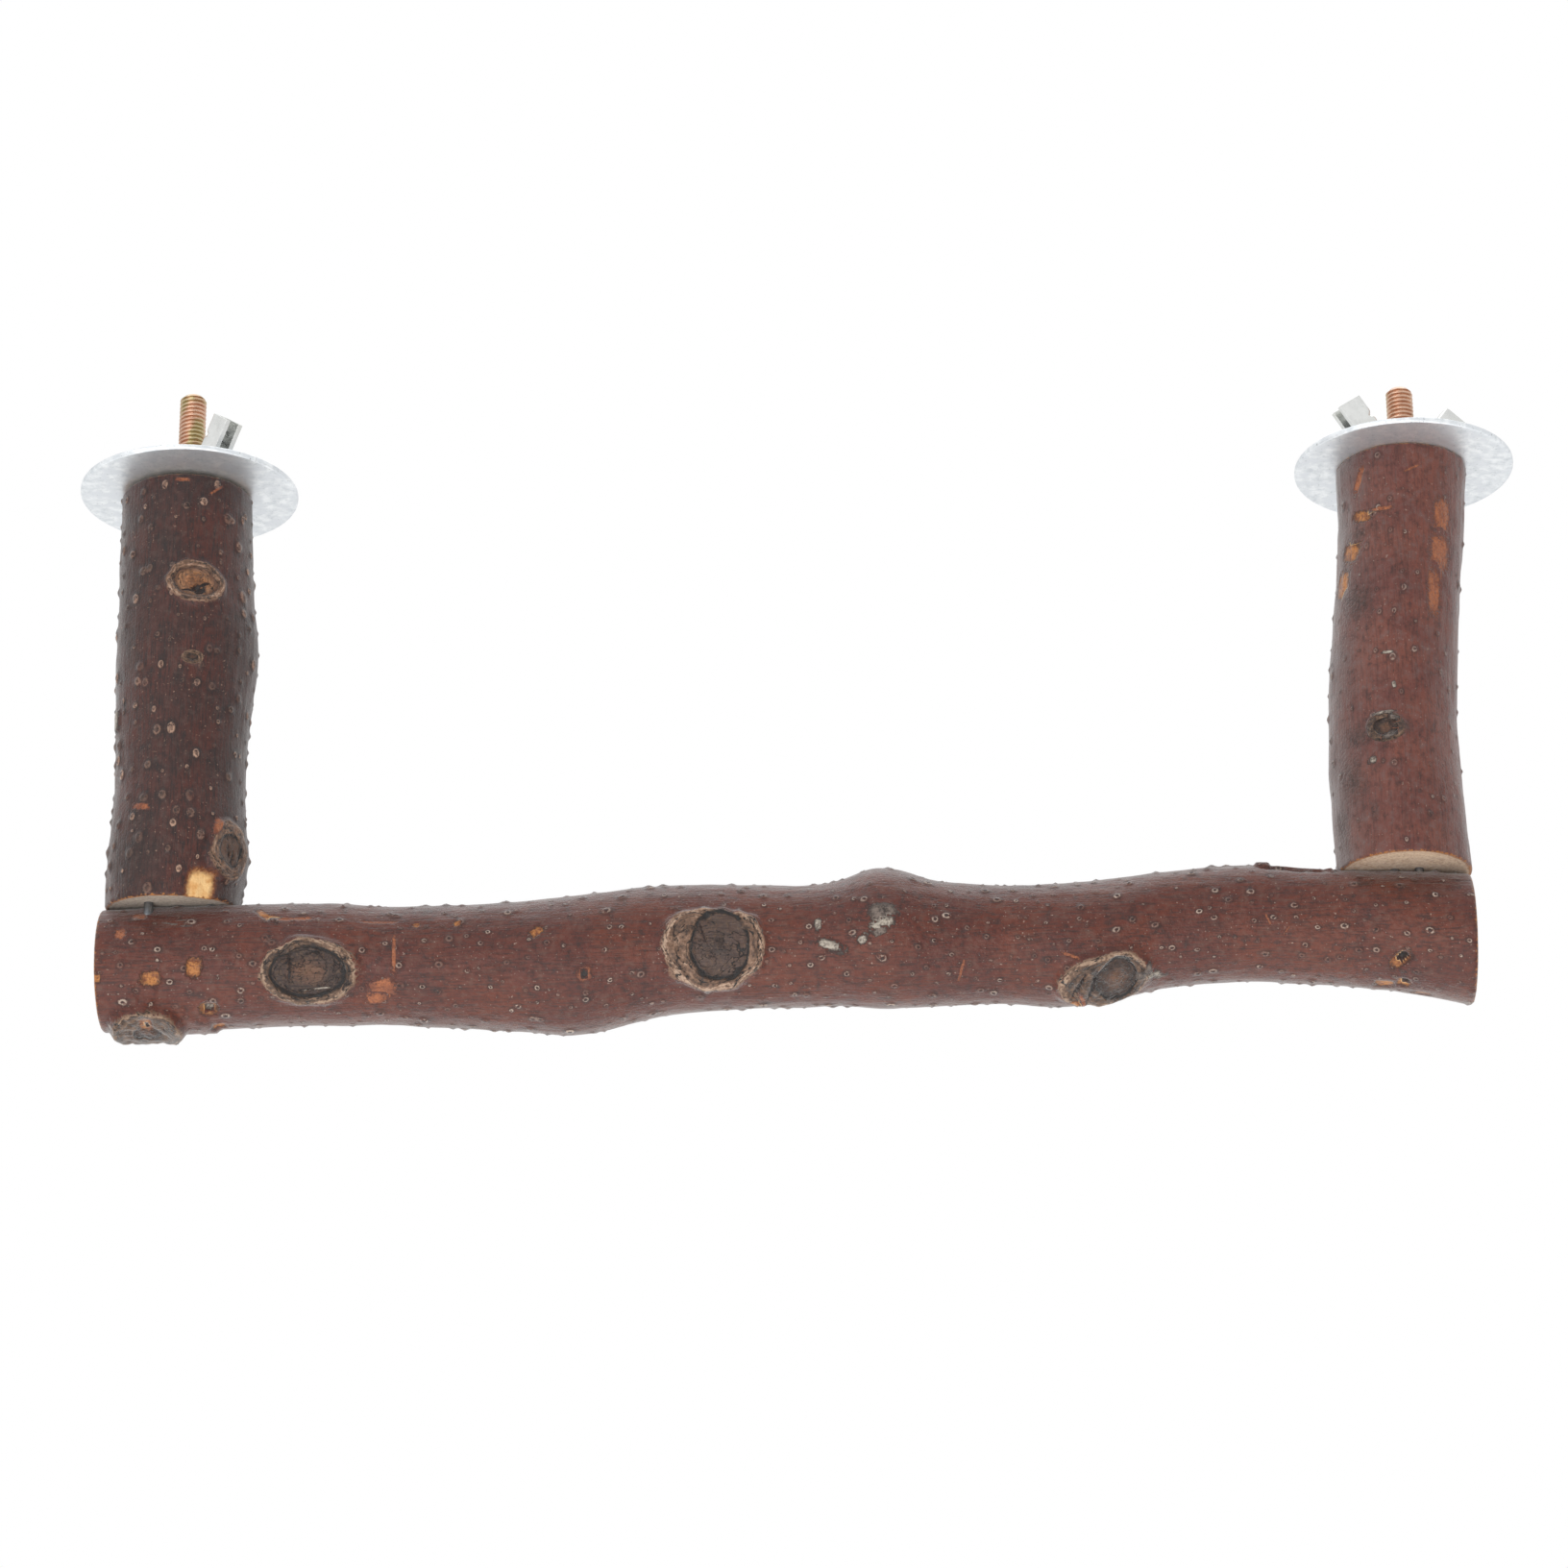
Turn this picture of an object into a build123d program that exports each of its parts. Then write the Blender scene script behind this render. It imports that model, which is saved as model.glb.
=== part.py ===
from build123d import *
import os
from math import ceil, copysign, cos, radians, sin, sqrt

# A bird perch of bark-on branch wood that hangs from a cage wall. Two short posts stand on a longer bar,
# nailed from below, and each post holds a hanger bolt with a large washer and a stamped wing nut.
# Millimetres. The origin lies midway between the two studs, on the plane of the posts' upper ends.
# +X runs along the bar, +Y to the back and +Z up the studs.

# Layout of the U
STUD_SPACING = 274.0
LEFT_POST_LENGTH = 100.3
RIGHT_POST_LENGTH = 97.7
RIGHT_POST_LEAN = 5.0  # the right post's foot stands this far inside its stud
BAR_SETBACK = 2.5  # the bar's axis lies this far behind the studs' plane
BAR_LEFT_OVERHANG = 15.2  # the bar's end past the foot's axis
BAR_RIGHT_OVERHANG = 13.8

# Branch diameters over the bark, at the posts' feet for the bar and as a mean for the posts
BAR_LEFT_DIAMETER = 27.0
BAR_RIGHT_DIAMETER = 26.4
LEFT_POST_DIAMETER = 29.4
RIGHT_POST_DIAMETER = 28.4
END_BEVEL = 0.8  # worn edge of the bar's sawn ends
RING_SPACING = 11.0  # between the rings that a branch is lofted through

# How the branches grew. Bar stations: share of the span between the feet, crook to the back, rise, swell.
BAR_FORM = [
    (0.126, 0.0, -0.2, -0.5),
    (0.182, 0.4, -0.8, -1.0),
    (0.283, 1.0, -1.7, 1.8),
    (0.327, 1.0, -1.8, 3.5),
    (0.409, 0.0, 0.9, 1.5),
    (0.498, -0.6, 0.7, -0.2),
    (0.534, -0.8, 0.8, 0.3),
    (0.578, -0.8, 1.8, 3.9),
    (0.623, -0.6, 0.3, 0.5),
    (0.669, 0.0, 0.0, -0.7),
    (0.736, 0.5, -0.4, 0.3),
    (0.803, 1.0, 2.5, -1.3),
    (0.870, 1.2, 3.6, -1.1),
    (0.944, 0.6, 1.8, -1.0),
]
BAR_LEFT_END = (0.0, -0.4, -0.3)  # crook, rise and swell at the sawn ends
BAR_RIGHT_END = (0.0, -2.2, 2.4)
# Post stations: share of the length from the top, bow to the right, bow to the back, swell.
LEFT_POST_FORM = [
    (0.00, -0.5, 0.0, -0.1),
    (0.25, 0.2, 0.3, 0.7),
    (0.38, 0.9, 0.4, 2.0),
    (0.55, 0.6, 0.2, 0.3),
    (0.72, 0.5, 0.0, -0.7),
    (0.88, 0.7, 0.0, 1.3),
    (0.96, 0.0, 0.0, 0.5),
    (1.05, -0.8, 0.0, -1.5),
]
RIGHT_POST_FORM = [
    (0.00, -0.7, 0.0, 0.8),
    (0.15, -0.6, 0.2, -0.3),
    (0.36, -1.7, 0.5, -0.5),
    (0.51, -2.5, 0.6, -0.2),
    (0.72, -2.3, 0.4, 0.1),
    (0.87, -1.3, 0.1, 0.7),
    (1.00, 0.1, 0.0, 0.9),
    (1.07, 0.8, 0.0, 0.8),
]

# Joints between posts and bar: a shallow flat on the bar's crown takes the post's sawn foot
SEAT_DEPTH = 0.5
SEAT_MARGIN = 1.5  # the flat runs this far past the post on the inner side
LEFT_CUT_TILT = 8.0  # degrees, the foot is sawn lower at the front
RIGHT_CUT_TILT = 2.0
NAIL_DIAMETER = 2.0
NAIL_HEAD_DIAMETER = 3.0
NAIL_HEAD_HEIGHT = 0.9
NAIL_POINT = 3.0
NAIL_BITE = 21.0  # length driven into the post
NAIL_SUNK = 1.4  # the head lies this far below the bark
NAIL_FIT = 0.02  # radial, the wood grips the nail
# Each nail: name, distance right of the foot's axis, wood between its axis and the bar's front
LEFT_NAILS = [("left_outer_nail", -4.3, 4.0), ("left_inner_nail", 8.9, 7.4)]
RIGHT_NAILS = [("right_inner_nail", -2.4, 8.2), ("right_outer_nail", 2.8, 7.6)]

# Knots: share along the branch, angle round it from the front, collar length and width, height proud of
# the bark, and the sawn face's size and depth. The angle is positive upwards on the bar, and to the right
# on a post.
BAR_KNOTS = [
    (0.112, -27.0, 21.0, 15.5, 0.7, 0.78, 0.7),
    (0.438, -22.0, 21.0, 18.5, 0.8, 0.64, 0.9),
    (0.756, -61.0, 20.0, 13.5, 1.0, 0.62, 0.8),
]
END_KNOT = (-86.0, 14.0, 13.0, 2.4, 0.55, 0.8)  # the same values, under the bar's left end
END_KNOT_INSET = 10.4  # from the sawn end to the knot's middle
LEFT_POST_KNOTS = [
    (0.276, 10.0, 10.5, 12.5, 0.6, 0.70, 1.2),
    (0.905, 52.0, 13.0, 11.0, 1.0, 0.68, 0.8),
]
RIGHT_POST_KNOTS = [(0.702, -10.0, 7.0, 8.0, 0.4, 0.60, 0.5)]
KNOT_FLARE = 1.5  # the collar spreads by this much all round
KNOT_ROOT = 5.0  # the collar starts this far below its face, and bark is cleared this far above it

# Hanger bolts
STUD_DIAMETER = 6.0
STUD_CHAMFER = 0.9
LEFT_STUD_HEIGHT = 25.3
RIGHT_STUD_HEIGHT = 20.4
RUN_OUT = 0.04  # the rolled thread's crests stand this much lower at the post than at the free end
THREAD_SHOWN = 0.5  # the crests reach full height this far above the nut
SCREW_DIAMETER = 5.2
SCREW_END_DIAMETER = 4.4
SCREW_LENGTH = 26.0
SCREW_POINT = 5.0
POINT_RADIUS = 0.3  # blunt tip of the screws and nails
SCREW_FIT = 0.02  # radial, the wood grips the screw

# Washers and wing nuts
WASHER_DIAMETER = 49.0
WASHER_THICKNESS = 1.2
WASHER_EDGE = 0.3  # rolled edge
WASHER_CLEARANCE = 0.3  # radial, on the stud
NUT_CLEARANCE = 0.05  # radial, running fit on the thread's crests
NUT_HEIGHT = 15.6
HUB_HEIGHT = 7.0
HUB_WALL = 2.3
HUB_DRAFT = 0.6
FLANGE_WIDTH = 1.9  # the base flange stands out past the hub
FLANGE_THICKNESS = 1.2
WING_LEAN = 36.0  # degrees from the stud's axis
WING_TOP_REACH = 10.6  # from the stud's axis to the wing's inner top corner
WING_DEPTH = 6.5
WING_WIDTH = 4.5
WING_SHEET = 1.2
WING_FOLD = 0.8  # outside radius of the folds
LEFT_NUT_TURN = -45.0  # degrees about the stud as the nuts stand at rest
RIGHT_NUT_TURN = 20.0


def mix(a, b, share):
    """The value that lies a share of the way from a to b."""
    return a + (b - a) * share


def slopes_at(form, i):
    """How fast a form's values change at one of its stations, judged from the stations beside it."""
    before = form[max(i - 1, 0)]
    after = form[min(i + 1, len(form) - 1)]
    return [(b - a) / (after[0] - before[0]) for a, b in zip(before[1:], after[1:])]


def form_at(form, share):
    """A form's values at a share of its length, on a smooth cubic curve through its stations."""
    i = sum(station[0] <= share for station in form[1:-1])
    low, high = form[i], form[i + 1]
    reach = high[0] - low[0]
    t = (share - low[0]) / reach
    values = []
    for a, b, slope_a, slope_b in zip(low[1:], high[1:], slopes_at(form, i), slopes_at(form, i + 1)):
        bend = reach * t * (1 - t) * (slope_a * (1 - t) - slope_b * t)
        values.append(mix(a, b, t * t * (3 - 2 * t)) + bend)
    return values


def ring_shares(first, last, length):
    """Even steps from one share of a length to another, about a ring's spacing apart."""
    steps = ceil((last - first) * length / RING_SPACING)
    return [mix(first, last, step / steps) for step in range(steps + 1)]


LEFT_X = -STUD_SPACING / 2
RIGHT_X = STUD_SPACING / 2
LEFT_FOOT_X = LEFT_X
RIGHT_FOOT_X = RIGHT_X - RIGHT_POST_LEAN
SPAN = RIGHT_FOOT_X - LEFT_FOOT_X
LEFT_AXIS_Z = -LEFT_POST_LENGTH + SEAT_DEPTH - BAR_LEFT_DIAMETER / 2
RIGHT_AXIS_Z = -RIGHT_POST_LENGTH + SEAT_DEPTH - BAR_RIGHT_DIAMETER / 2
WHOLE_BAR_FORM = [
    (-BAR_LEFT_OVERHANG / SPAN, *BAR_LEFT_END),
    (0.0, 0.0, 0.0, 0.0),
    *BAR_FORM,
    (1.0, 0.0, 0.0, 0.0),
    (1.0 + BAR_RIGHT_OVERHANG / SPAN, *BAR_RIGHT_END),
]


def bar_section(share):
    """The bar's centre and diameter at a share of the span between the feet."""
    crook, rise, swell = form_at(WHOLE_BAR_FORM, share)
    centre = Vector(
        mix(LEFT_FOOT_X, RIGHT_FOOT_X, share),
        BAR_SETBACK + crook,
        mix(LEFT_AXIS_Z, RIGHT_AXIS_Z, share) + rise,
    )
    return centre, mix(BAR_LEFT_DIAMETER, BAR_RIGHT_DIAMETER, share) + swell


def bar_ring(share, worn=0.0):
    """A round section of the bar, worn down all round by a depth."""
    centre, diameter = bar_section(share)
    return Plane(centre, x_dir=(0, 1, 0), z_dir=(1, 0, 0)) * Circle(diameter / 2 - worn)


def post_section(form, top_x, foot_x, length, diameter, share):
    """A post's centre and diameter at a share of its length, down from the top."""
    bow, back, swell = form_at(form, share)
    centre = Vector(mix(top_x, foot_x, share) + bow, back, -length * share)
    return centre, diameter + swell


def knot(centre, diameter, along, outwards, size):
    """A sawn knot's flared collar, and the hollow that is cut in its flat face."""
    length, width, proud, face_share, hollow = size
    face = Plane(centre + outwards * (diameter / 2 + proud), x_dir=along, z_dir=outwards)
    root = face.offset(-KNOT_ROOT)
    collar = loft([
        root * Ellipse(length / 2 + KNOT_FLARE, width / 2 + KNOT_FLARE),
        face * Ellipse(length / 2, width / 2),
    ])
    floor = face.offset(-hollow) * Ellipse(length / 2 * face_share, width / 2 * face_share)
    return collar, extrude(floor, amount=hollow + KNOT_ROOT)


def seat_plane(foot_x, length, tilt):
    """The plane of a post's sawn foot, which dips towards the front."""
    dip = radians(tilt)
    return Plane((foot_x, BAR_SETBACK, -length), x_dir=(1, 0, 0), z_dir=(0, -sin(dip), cos(dip)))


LEFT_SEAT = seat_plane(LEFT_FOOT_X, LEFT_POST_LENGTH, LEFT_CUT_TILT)
RIGHT_SEAT = seat_plane(RIGHT_FOOT_X, RIGHT_POST_LENGTH, RIGHT_CUT_TILT)


def revolved(points):
    """A solid turned about the Z axis from the radius and height of its outline's corners."""
    outline = make_face(Polyline(*[(r, 0, z) for r, z in points], close=True))
    return revolve(outline, axis=Axis.Z)


def bolt_corners(height, grow=0.0):
    """A hanger bolt's outline from the stud's tip down to the screw's point."""
    stud_r = STUD_DIAMETER / 2
    full_thread_z = WASHER_THICKNESS + HUB_HEIGHT + THREAD_SHOWN
    return [
        (0, height),
        (stud_r - STUD_CHAMFER, height),
        (stud_r, height - STUD_CHAMFER),
        (stud_r, full_thread_z),
        (stud_r - RUN_OUT, 0),
        *screw_corners(grow),
    ]


def screw_corners(grow):
    """The outline of the part that is driven into the wood, grown by a fit for the hole that it forms."""
    return [
        (SCREW_DIAMETER / 2 + grow, 0),
        (SCREW_END_DIAMETER / 2 + grow, -SCREW_LENGTH),
        (POINT_RADIUS + grow, -SCREW_LENGTH - SCREW_POINT - grow),
        (0, -SCREW_LENGTH - SCREW_POINT - grow),
    ]


def hanger_bolt(x, height):
    """A stud with a machine thread above and a tapered wood screw below."""
    return Pos(x, 0, 0) * revolved(bolt_corners(height))


def screw_hole(x):
    """The hole that the wood screw forms in the post's top."""
    return Pos(x, 0, 0) * revolved([(0, 0), *screw_corners(SCREW_FIT)])


def nail_places(nails, foot_x, seat_z, axis_z, diameter):
    """Each nail's name, axis, head height and point height."""
    places = []
    for name, right, cover in nails:
        off_axis = diameter / 2 - cover
        bark_z = axis_z - sqrt((diameter / 2) ** 2 - off_axis**2)
        axis = (foot_x + right, BAR_SETBACK - off_axis)
        places.append((name, axis, bark_z + NAIL_SUNK, seat_z + NAIL_BITE))
    return places


def nail(place, head_z, point_z):
    """A round nail, head down."""
    head_r = NAIL_HEAD_DIAMETER / 2
    shank_r = NAIL_DIAMETER / 2
    return Pos(*place, 0) * revolved([
        (0, head_z),
        (head_r, head_z),
        (head_r, head_z + NAIL_HEAD_HEIGHT),
        (shank_r, head_z + NAIL_HEAD_HEIGHT),
        (shank_r, point_z - NAIL_POINT),
        (POINT_RADIUS, point_z),
        (0, point_z),
    ])


def nail_hole(place, head_z, point_z):
    """The hole that a nail leaves, open below its head."""
    head_r = NAIL_HEAD_DIAMETER / 2 + NAIL_FIT
    shank_r = NAIL_DIAMETER / 2 + NAIL_FIT
    open_z = head_z - BAR_LEFT_DIAMETER
    return Pos(*place, 0) * revolved([
        (0, open_z),
        (head_r, open_z),
        (head_r, head_z + NAIL_HEAD_HEIGHT),
        (shank_r, head_z + NAIL_HEAD_HEIGHT),
        (shank_r, point_z - NAIL_POINT),
        (POINT_RADIUS + NAIL_FIT, point_z + NAIL_FIT),
        (0, point_z + NAIL_FIT),
    ])


def seat_cut(seat, overhang, post_diameter):
    """The wood above a seat that is pared off the bar, out past its end. A right overhang is positive."""
    inner = post_diameter / 2 + SEAT_MARGIN
    length = inner + 2 * abs(overhang)
    pared = Box(length, post_diameter, post_diameter, align=(Align.CENTER, Align.CENTER, Align.MIN))
    return seat * Pos(overhang - copysign(inner, overhang) / 2, 0, 0) * pared


def perch_bar(holes):
    """The long branch, with its worn ends, flats under the posts, knots and nail holes."""
    worn = END_BEVEL / SPAN
    left_end, right_end = WHOLE_BAR_FORM[0][0], WHOLE_BAR_FORM[-1][0]
    rings = [bar_ring(share) for share in ring_shares(left_end + worn, right_end - worn, SPAN)]
    left_bevel = loft([bar_ring(left_end, END_BEVEL), rings[0]])
    right_bevel = loft([rings[-1], bar_ring(right_end, END_BEVEL)])
    bar = loft(rings) + [left_bevel, right_bevel]
    end_knot_share = (END_KNOT_INSET - BAR_LEFT_OVERHANG) / SPAN
    collars, hollows = [], []
    for share, angle, *size in [*BAR_KNOTS, (end_knot_share, *END_KNOT)]:
        turn = radians(angle)
        collar, hollow = knot(*bar_section(share), (1, 0, 0), Vector(0, -cos(turn), sin(turn)), size)
        collars.append(collar)
        hollows.append(hollow)
    seats = [
        seat_cut(LEFT_SEAT, -BAR_LEFT_OVERHANG, LEFT_POST_DIAMETER),
        seat_cut(RIGHT_SEAT, BAR_RIGHT_OVERHANG, RIGHT_POST_DIAMETER),
    ]
    return bar + collars - (hollows + seats + holes)


def post(form, top_x, foot_x, length, diameter, seat, knots, holes):
    """A short branch, sawn flat at the top and along its seat at the foot, drilled by its bolt and nails."""
    rings = []
    for share in ring_shares(form[0][0], form[-1][0], length):
        centre, across = post_section(form, top_x, foot_x, length, diameter, share)
        rings.append(Plane(centre, x_dir=(1, 0, 0), z_dir=(0, 0, -1)) * Circle(across / 2))
    collars, hollows = [], []
    for share, angle, *size in knots:
        turn = radians(angle)
        section = post_section(form, top_x, foot_x, length, diameter, share)
        collar, hollow = knot(*section, (0, 0, -1), Vector(sin(turn), -cos(turn), 0), size)
        collars.append(collar)
        hollows.append(hollow)
    branch = split(loft(rings) + collars, bisect_by=seat, keep=Keep.TOP)
    return branch - (hollows + [screw_hole(top_x)] + holes)


def washer(x):
    """A large plain washer with a rolled edge."""
    outer_r = WASHER_DIAMETER / 2
    hole_r = STUD_DIAMETER / 2 + WASHER_CLEARANCE
    disc = revolved([(hole_r, 0), (outer_r, 0), (outer_r, WASHER_THICKNESS), (hole_r, WASHER_THICKNESS)])
    rim = disc.edges().filter_by(GeomType.CIRCLE).sort_by(SortBy.RADIUS)[-2:]
    return Pos(x, 0, 0) * fillet(rim, WASHER_EDGE)


def wing():
    """One wing on the +X side: sheet folded into a channel that is open outwards, leaning off the stud."""
    lean = radians(WING_LEAN)
    top = Plane(
        (WING_TOP_REACH, 0, NUT_HEIGHT),
        x_dir=(cos(lean), 0, -sin(lean)),
        z_dir=(-sin(lean), 0, -cos(lean)),
    )
    outside = Rectangle(WING_DEPTH, WING_WIDTH, align=(Align.MIN, Align.CENTER))
    outside = fillet(outside.vertices().group_by(Axis.X)[0], WING_FOLD)
    inside = Pos(WING_SHEET, 0) * Rectangle(
        WING_DEPTH, WING_WIDTH - 2 * WING_SHEET, align=(Align.MIN, Align.CENTER)
    )
    channel = extrude(top * (outside - inside), amount=NUT_HEIGHT / cos(lean))
    return split(channel, bisect_by=Plane.XY.offset(FLANGE_THICKNESS / 2), keep=Keep.TOP)


def wing_nut(x, turn):
    """A stamped wing nut: a drafted hub on a base flange, with two folded wings, seated on its washer."""
    bore_r = STUD_DIAMETER / 2 + NUT_CLEARANCE
    hub_r = bore_r + HUB_WALL
    body = revolved([
        (0, 0),
        (hub_r + FLANGE_WIDTH, 0),
        (hub_r + FLANGE_WIDTH, FLANGE_THICKNESS),
        (hub_r, FLANGE_THICKNESS),
        (hub_r - HUB_DRAFT, HUB_HEIGHT),
        (0, HUB_HEIGHT),
    ])
    one_wing = wing()
    body = body + one_wing + Rot(0, 0, 180) * one_wing
    body -= Cylinder(bore_r, 2 * NUT_HEIGHT)
    return Pos(x, 0, WASHER_THICKNESS) * Rot(0, 0, turn) * body


left_nails = nail_places(LEFT_NAILS, LEFT_FOOT_X, -LEFT_POST_LENGTH, LEFT_AXIS_Z, BAR_LEFT_DIAMETER)
right_nails = nail_places(RIGHT_NAILS, RIGHT_FOOT_X, -RIGHT_POST_LENGTH, RIGHT_AXIS_Z, BAR_RIGHT_DIAMETER)
left_holes = [nail_hole(*place) for _, *place in left_nails]
right_holes = [nail_hole(*place) for _, *place in right_nails]

nodes = {
    "perch_bar": perch_bar(left_holes + right_holes),
    "left_post": post(
        LEFT_POST_FORM,
        LEFT_X,
        LEFT_FOOT_X,
        LEFT_POST_LENGTH,
        LEFT_POST_DIAMETER,
        LEFT_SEAT,
        LEFT_POST_KNOTS,
        left_holes,
    ),
    "right_post": post(
        RIGHT_POST_FORM,
        RIGHT_X,
        RIGHT_FOOT_X,
        RIGHT_POST_LENGTH,
        RIGHT_POST_DIAMETER,
        RIGHT_SEAT,
        RIGHT_POST_KNOTS,
        right_holes,
    ),
    "left_hanger_bolt": hanger_bolt(LEFT_X, LEFT_STUD_HEIGHT),
    "right_hanger_bolt": hanger_bolt(RIGHT_X, RIGHT_STUD_HEIGHT),
    "left_washer": washer(LEFT_X),
    "right_washer": washer(RIGHT_X),
    "left_wing_nut": wing_nut(LEFT_X, LEFT_NUT_TURN),
    "right_wing_nut": wing_nut(RIGHT_X, RIGHT_NUT_TURN),
}
for name, *place in left_nails + right_nails:
    nodes[name] = nail(*place)

os.makedirs("parts", exist_ok=True)
for name, solid in nodes.items():
    export_step(solid, f"parts/{name}.step")
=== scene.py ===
"""Dresses a bird perch: bark-on branches with sawn knots, zinc hardware, and a light tent seen from below.

Sizes are in millimetres in the part's own frame, and meshes are written in metres.
"""

import logging
from abc import ABC, abstractmethod
from dataclasses import dataclass, field
from enum import Enum, IntEnum
from math import cos, pi, radians, sin, tan
from typing import Any

import bpy
import numpy as np
from mathutils import Matrix, Vector

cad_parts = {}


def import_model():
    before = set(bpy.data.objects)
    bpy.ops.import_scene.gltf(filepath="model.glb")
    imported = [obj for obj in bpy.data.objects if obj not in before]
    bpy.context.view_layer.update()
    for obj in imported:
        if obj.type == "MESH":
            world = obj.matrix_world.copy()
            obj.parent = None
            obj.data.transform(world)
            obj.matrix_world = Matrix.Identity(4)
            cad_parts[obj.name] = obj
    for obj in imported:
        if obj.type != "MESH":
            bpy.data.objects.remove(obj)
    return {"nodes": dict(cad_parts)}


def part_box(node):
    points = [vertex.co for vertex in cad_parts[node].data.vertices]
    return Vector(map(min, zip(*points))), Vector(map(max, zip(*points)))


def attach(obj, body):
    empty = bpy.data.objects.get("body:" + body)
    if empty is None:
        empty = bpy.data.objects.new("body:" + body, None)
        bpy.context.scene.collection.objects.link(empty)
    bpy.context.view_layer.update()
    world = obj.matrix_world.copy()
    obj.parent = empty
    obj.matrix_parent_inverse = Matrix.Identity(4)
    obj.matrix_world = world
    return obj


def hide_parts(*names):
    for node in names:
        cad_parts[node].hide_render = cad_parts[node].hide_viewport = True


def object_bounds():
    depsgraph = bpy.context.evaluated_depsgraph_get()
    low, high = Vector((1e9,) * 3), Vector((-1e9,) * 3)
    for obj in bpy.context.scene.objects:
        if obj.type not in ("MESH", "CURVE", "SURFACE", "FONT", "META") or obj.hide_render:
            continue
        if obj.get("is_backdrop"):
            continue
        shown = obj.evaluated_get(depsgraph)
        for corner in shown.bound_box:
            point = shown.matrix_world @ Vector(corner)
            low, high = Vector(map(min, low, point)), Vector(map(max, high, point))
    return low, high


LOG = logging.getLogger("bird_perch")
MM = 0.001

Array = np.ndarray
Fields = dict[str, Array]
Node = bpy.types.Node
Tree = bpy.types.NodeTree
Point = tuple[float, float, float]
Stops = tuple[tuple[float, Any], ...]

EVEN = (1.0, 1.0, 1.0)  # stretch of a pattern that isn't drawn out

# Relief of the bark, in millimetres where a comment names no other measure
FAR = 3.0  # a feature's reach, in shares of its size, where it is too far off to show
LUMPS = ((0.22, 9.0), (0.1, 3.2))  # heights and sizes of the bark's unevenness
FIBRES = (0.07, 1.1)  # the same of its fibres, which are drawn out along the grain
BAND_PATCHES = (0.7, 0.6, 7.0)  # a band's mean strength, its stray from that, and its patches' size
JITTER = (0.1, 0.9)  # where in its cell of the lattice a lenticel may lie, as shares
LONGEST_PORE = 1.5  # a lenticel's length over its width, at most
PORE_LIFT = (0.2, 0.4)  # a lenticel's height, and what each millimetre of its radius adds
PORE_FALL = 1.3  # how steeply its bump falls off
CHIP_RAGGED = (0.25, 1.3)  # how far a chip's outline wanders, as a share, and over what length
CHIP_EDGE = (1.2, 0.75)  # where a chip's wall starts and ends, in shares of its size
CHIP_REACH = 1.3  # up to here a later mark covers an earlier one, in shares of its size
WANDER = 0.07  # how far a knot's outline wanders, as a share of its size
LOBE_SIZE = 5.0  # over what length it wanders
KNOT_RAGGED = (0.03, 1.8)  # the outline's fine unevenness, as a share, and over what length
KNOT_LUMPS = ((0.16, 1.2), (0.16, 2.6))  # heights and sizes of a collar's unevenness
KNOT_FLAT = 0.35  # share of a flat cut in the shape of a collar's top
KNOT_WIDEST = 0.9  # radians off a knot's middle past which its flat top isn't carried on
KNOT_COARSE = 0.7  # how much a higher collar is more uneven, for each millimetre
FACE_EDGE = (1.12, 0.88)  # where a sawn face's wall starts and ends, in shares of its size
COLLAR_EDGE = (1.22, 0.96)  # the same of a collar's outer slope
LAYER_TURN = 1.9  # torn layers in a collar: how often the pattern changes round it
LAYER_DEPTH = 8.5  # and from its middle outwards
LAYER_APART = 14.0  # and how far one knot's pattern lies from the next one's
EDGE_BENDS = np.radians([30.0, 60.0, 90.0])  # points on a worn edge's quarter circle
FACE_RINGS = np.array([0.985, 0.95, 0.9, 0.8, 0.68, 0.55, 0.42, 0.28, 0.14])  # rows on a sawn face
SAW_MARKS = (0.09, 1.5)  # depth and size of the saw's marks
SAW_STRETCH = np.array([0.3, 1.0, 1.0])  # and how they are drawn out
EDGE_DEPTH = (0.28, 0.3)  # how far in the worn edge's last row and the face's rim count as lying

# Shades from dark to pale in cork, and from the middle to the edge of a knot's sawn face
GREY_CORK = ((0.0, "#241814"), (0.35, "#4E392B"), (0.7, "#725743"), (1.0, "#9A7F69"))
TAN_CORK = ((0.0, "#3E2B20"), (0.35, "#7E5D48"), (0.7, "#A27F69"), (1.0, "#CDAE98"))
OLD_FACE = ((0.0, "#6E4B36"), (0.42, "#593B2C"), (0.62, "#37231B"), (1.0, "#2F1D17"))
LEVEL_FACE = ((0.0, "#372823"), (0.45, "#49352E"), (0.8, "#503B32"), (1.0, "#3C2B25"))
FRESH_FACE = ((0.0, "#855433"), (0.4, "#A26C46"), (0.75, "#A67856"), (1.0, "#56362A"))
FACE_PALE = "#73583F"
FACE_FIBRE = "#1D1310"
# A lenticel's dark pore, also laid as a painted shadow ring round its rim
PORE_AND_SHADOW = "#170D0B"
CRACK = "#0E0807"
INNER_BARK = "#A86E3C"
SPECK = "#6E7072"


class Cap(Enum):
    """How the first and last rows of a shell are closed."""

    POLE = "a fan of triangles to one point"
    STRIP = "quads between the two sides of a folded sheet"
    RING = "the last row joins the first"


class Draw(IntEnum):
    """Which random values a feature draws, counted from its branch's seed."""

    BARK = 0
    BAND_PATCHES = 3
    LENTICEL = 10
    CHIP = 30
    KNOT = 40
    SAW = 50


class Kind(Enum):
    """What a mark on the bark shows, as a place on the marks' colour ramp; swollen bark has none."""

    SWOLLEN = -1.0
    BARE = 0.1
    WOOD = 0.3
    FLAKE = 0.45
    CORK = 0.55
    HOLE = 0.7
    SCRATCH = 0.85
    STAIN = 0.95
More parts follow.
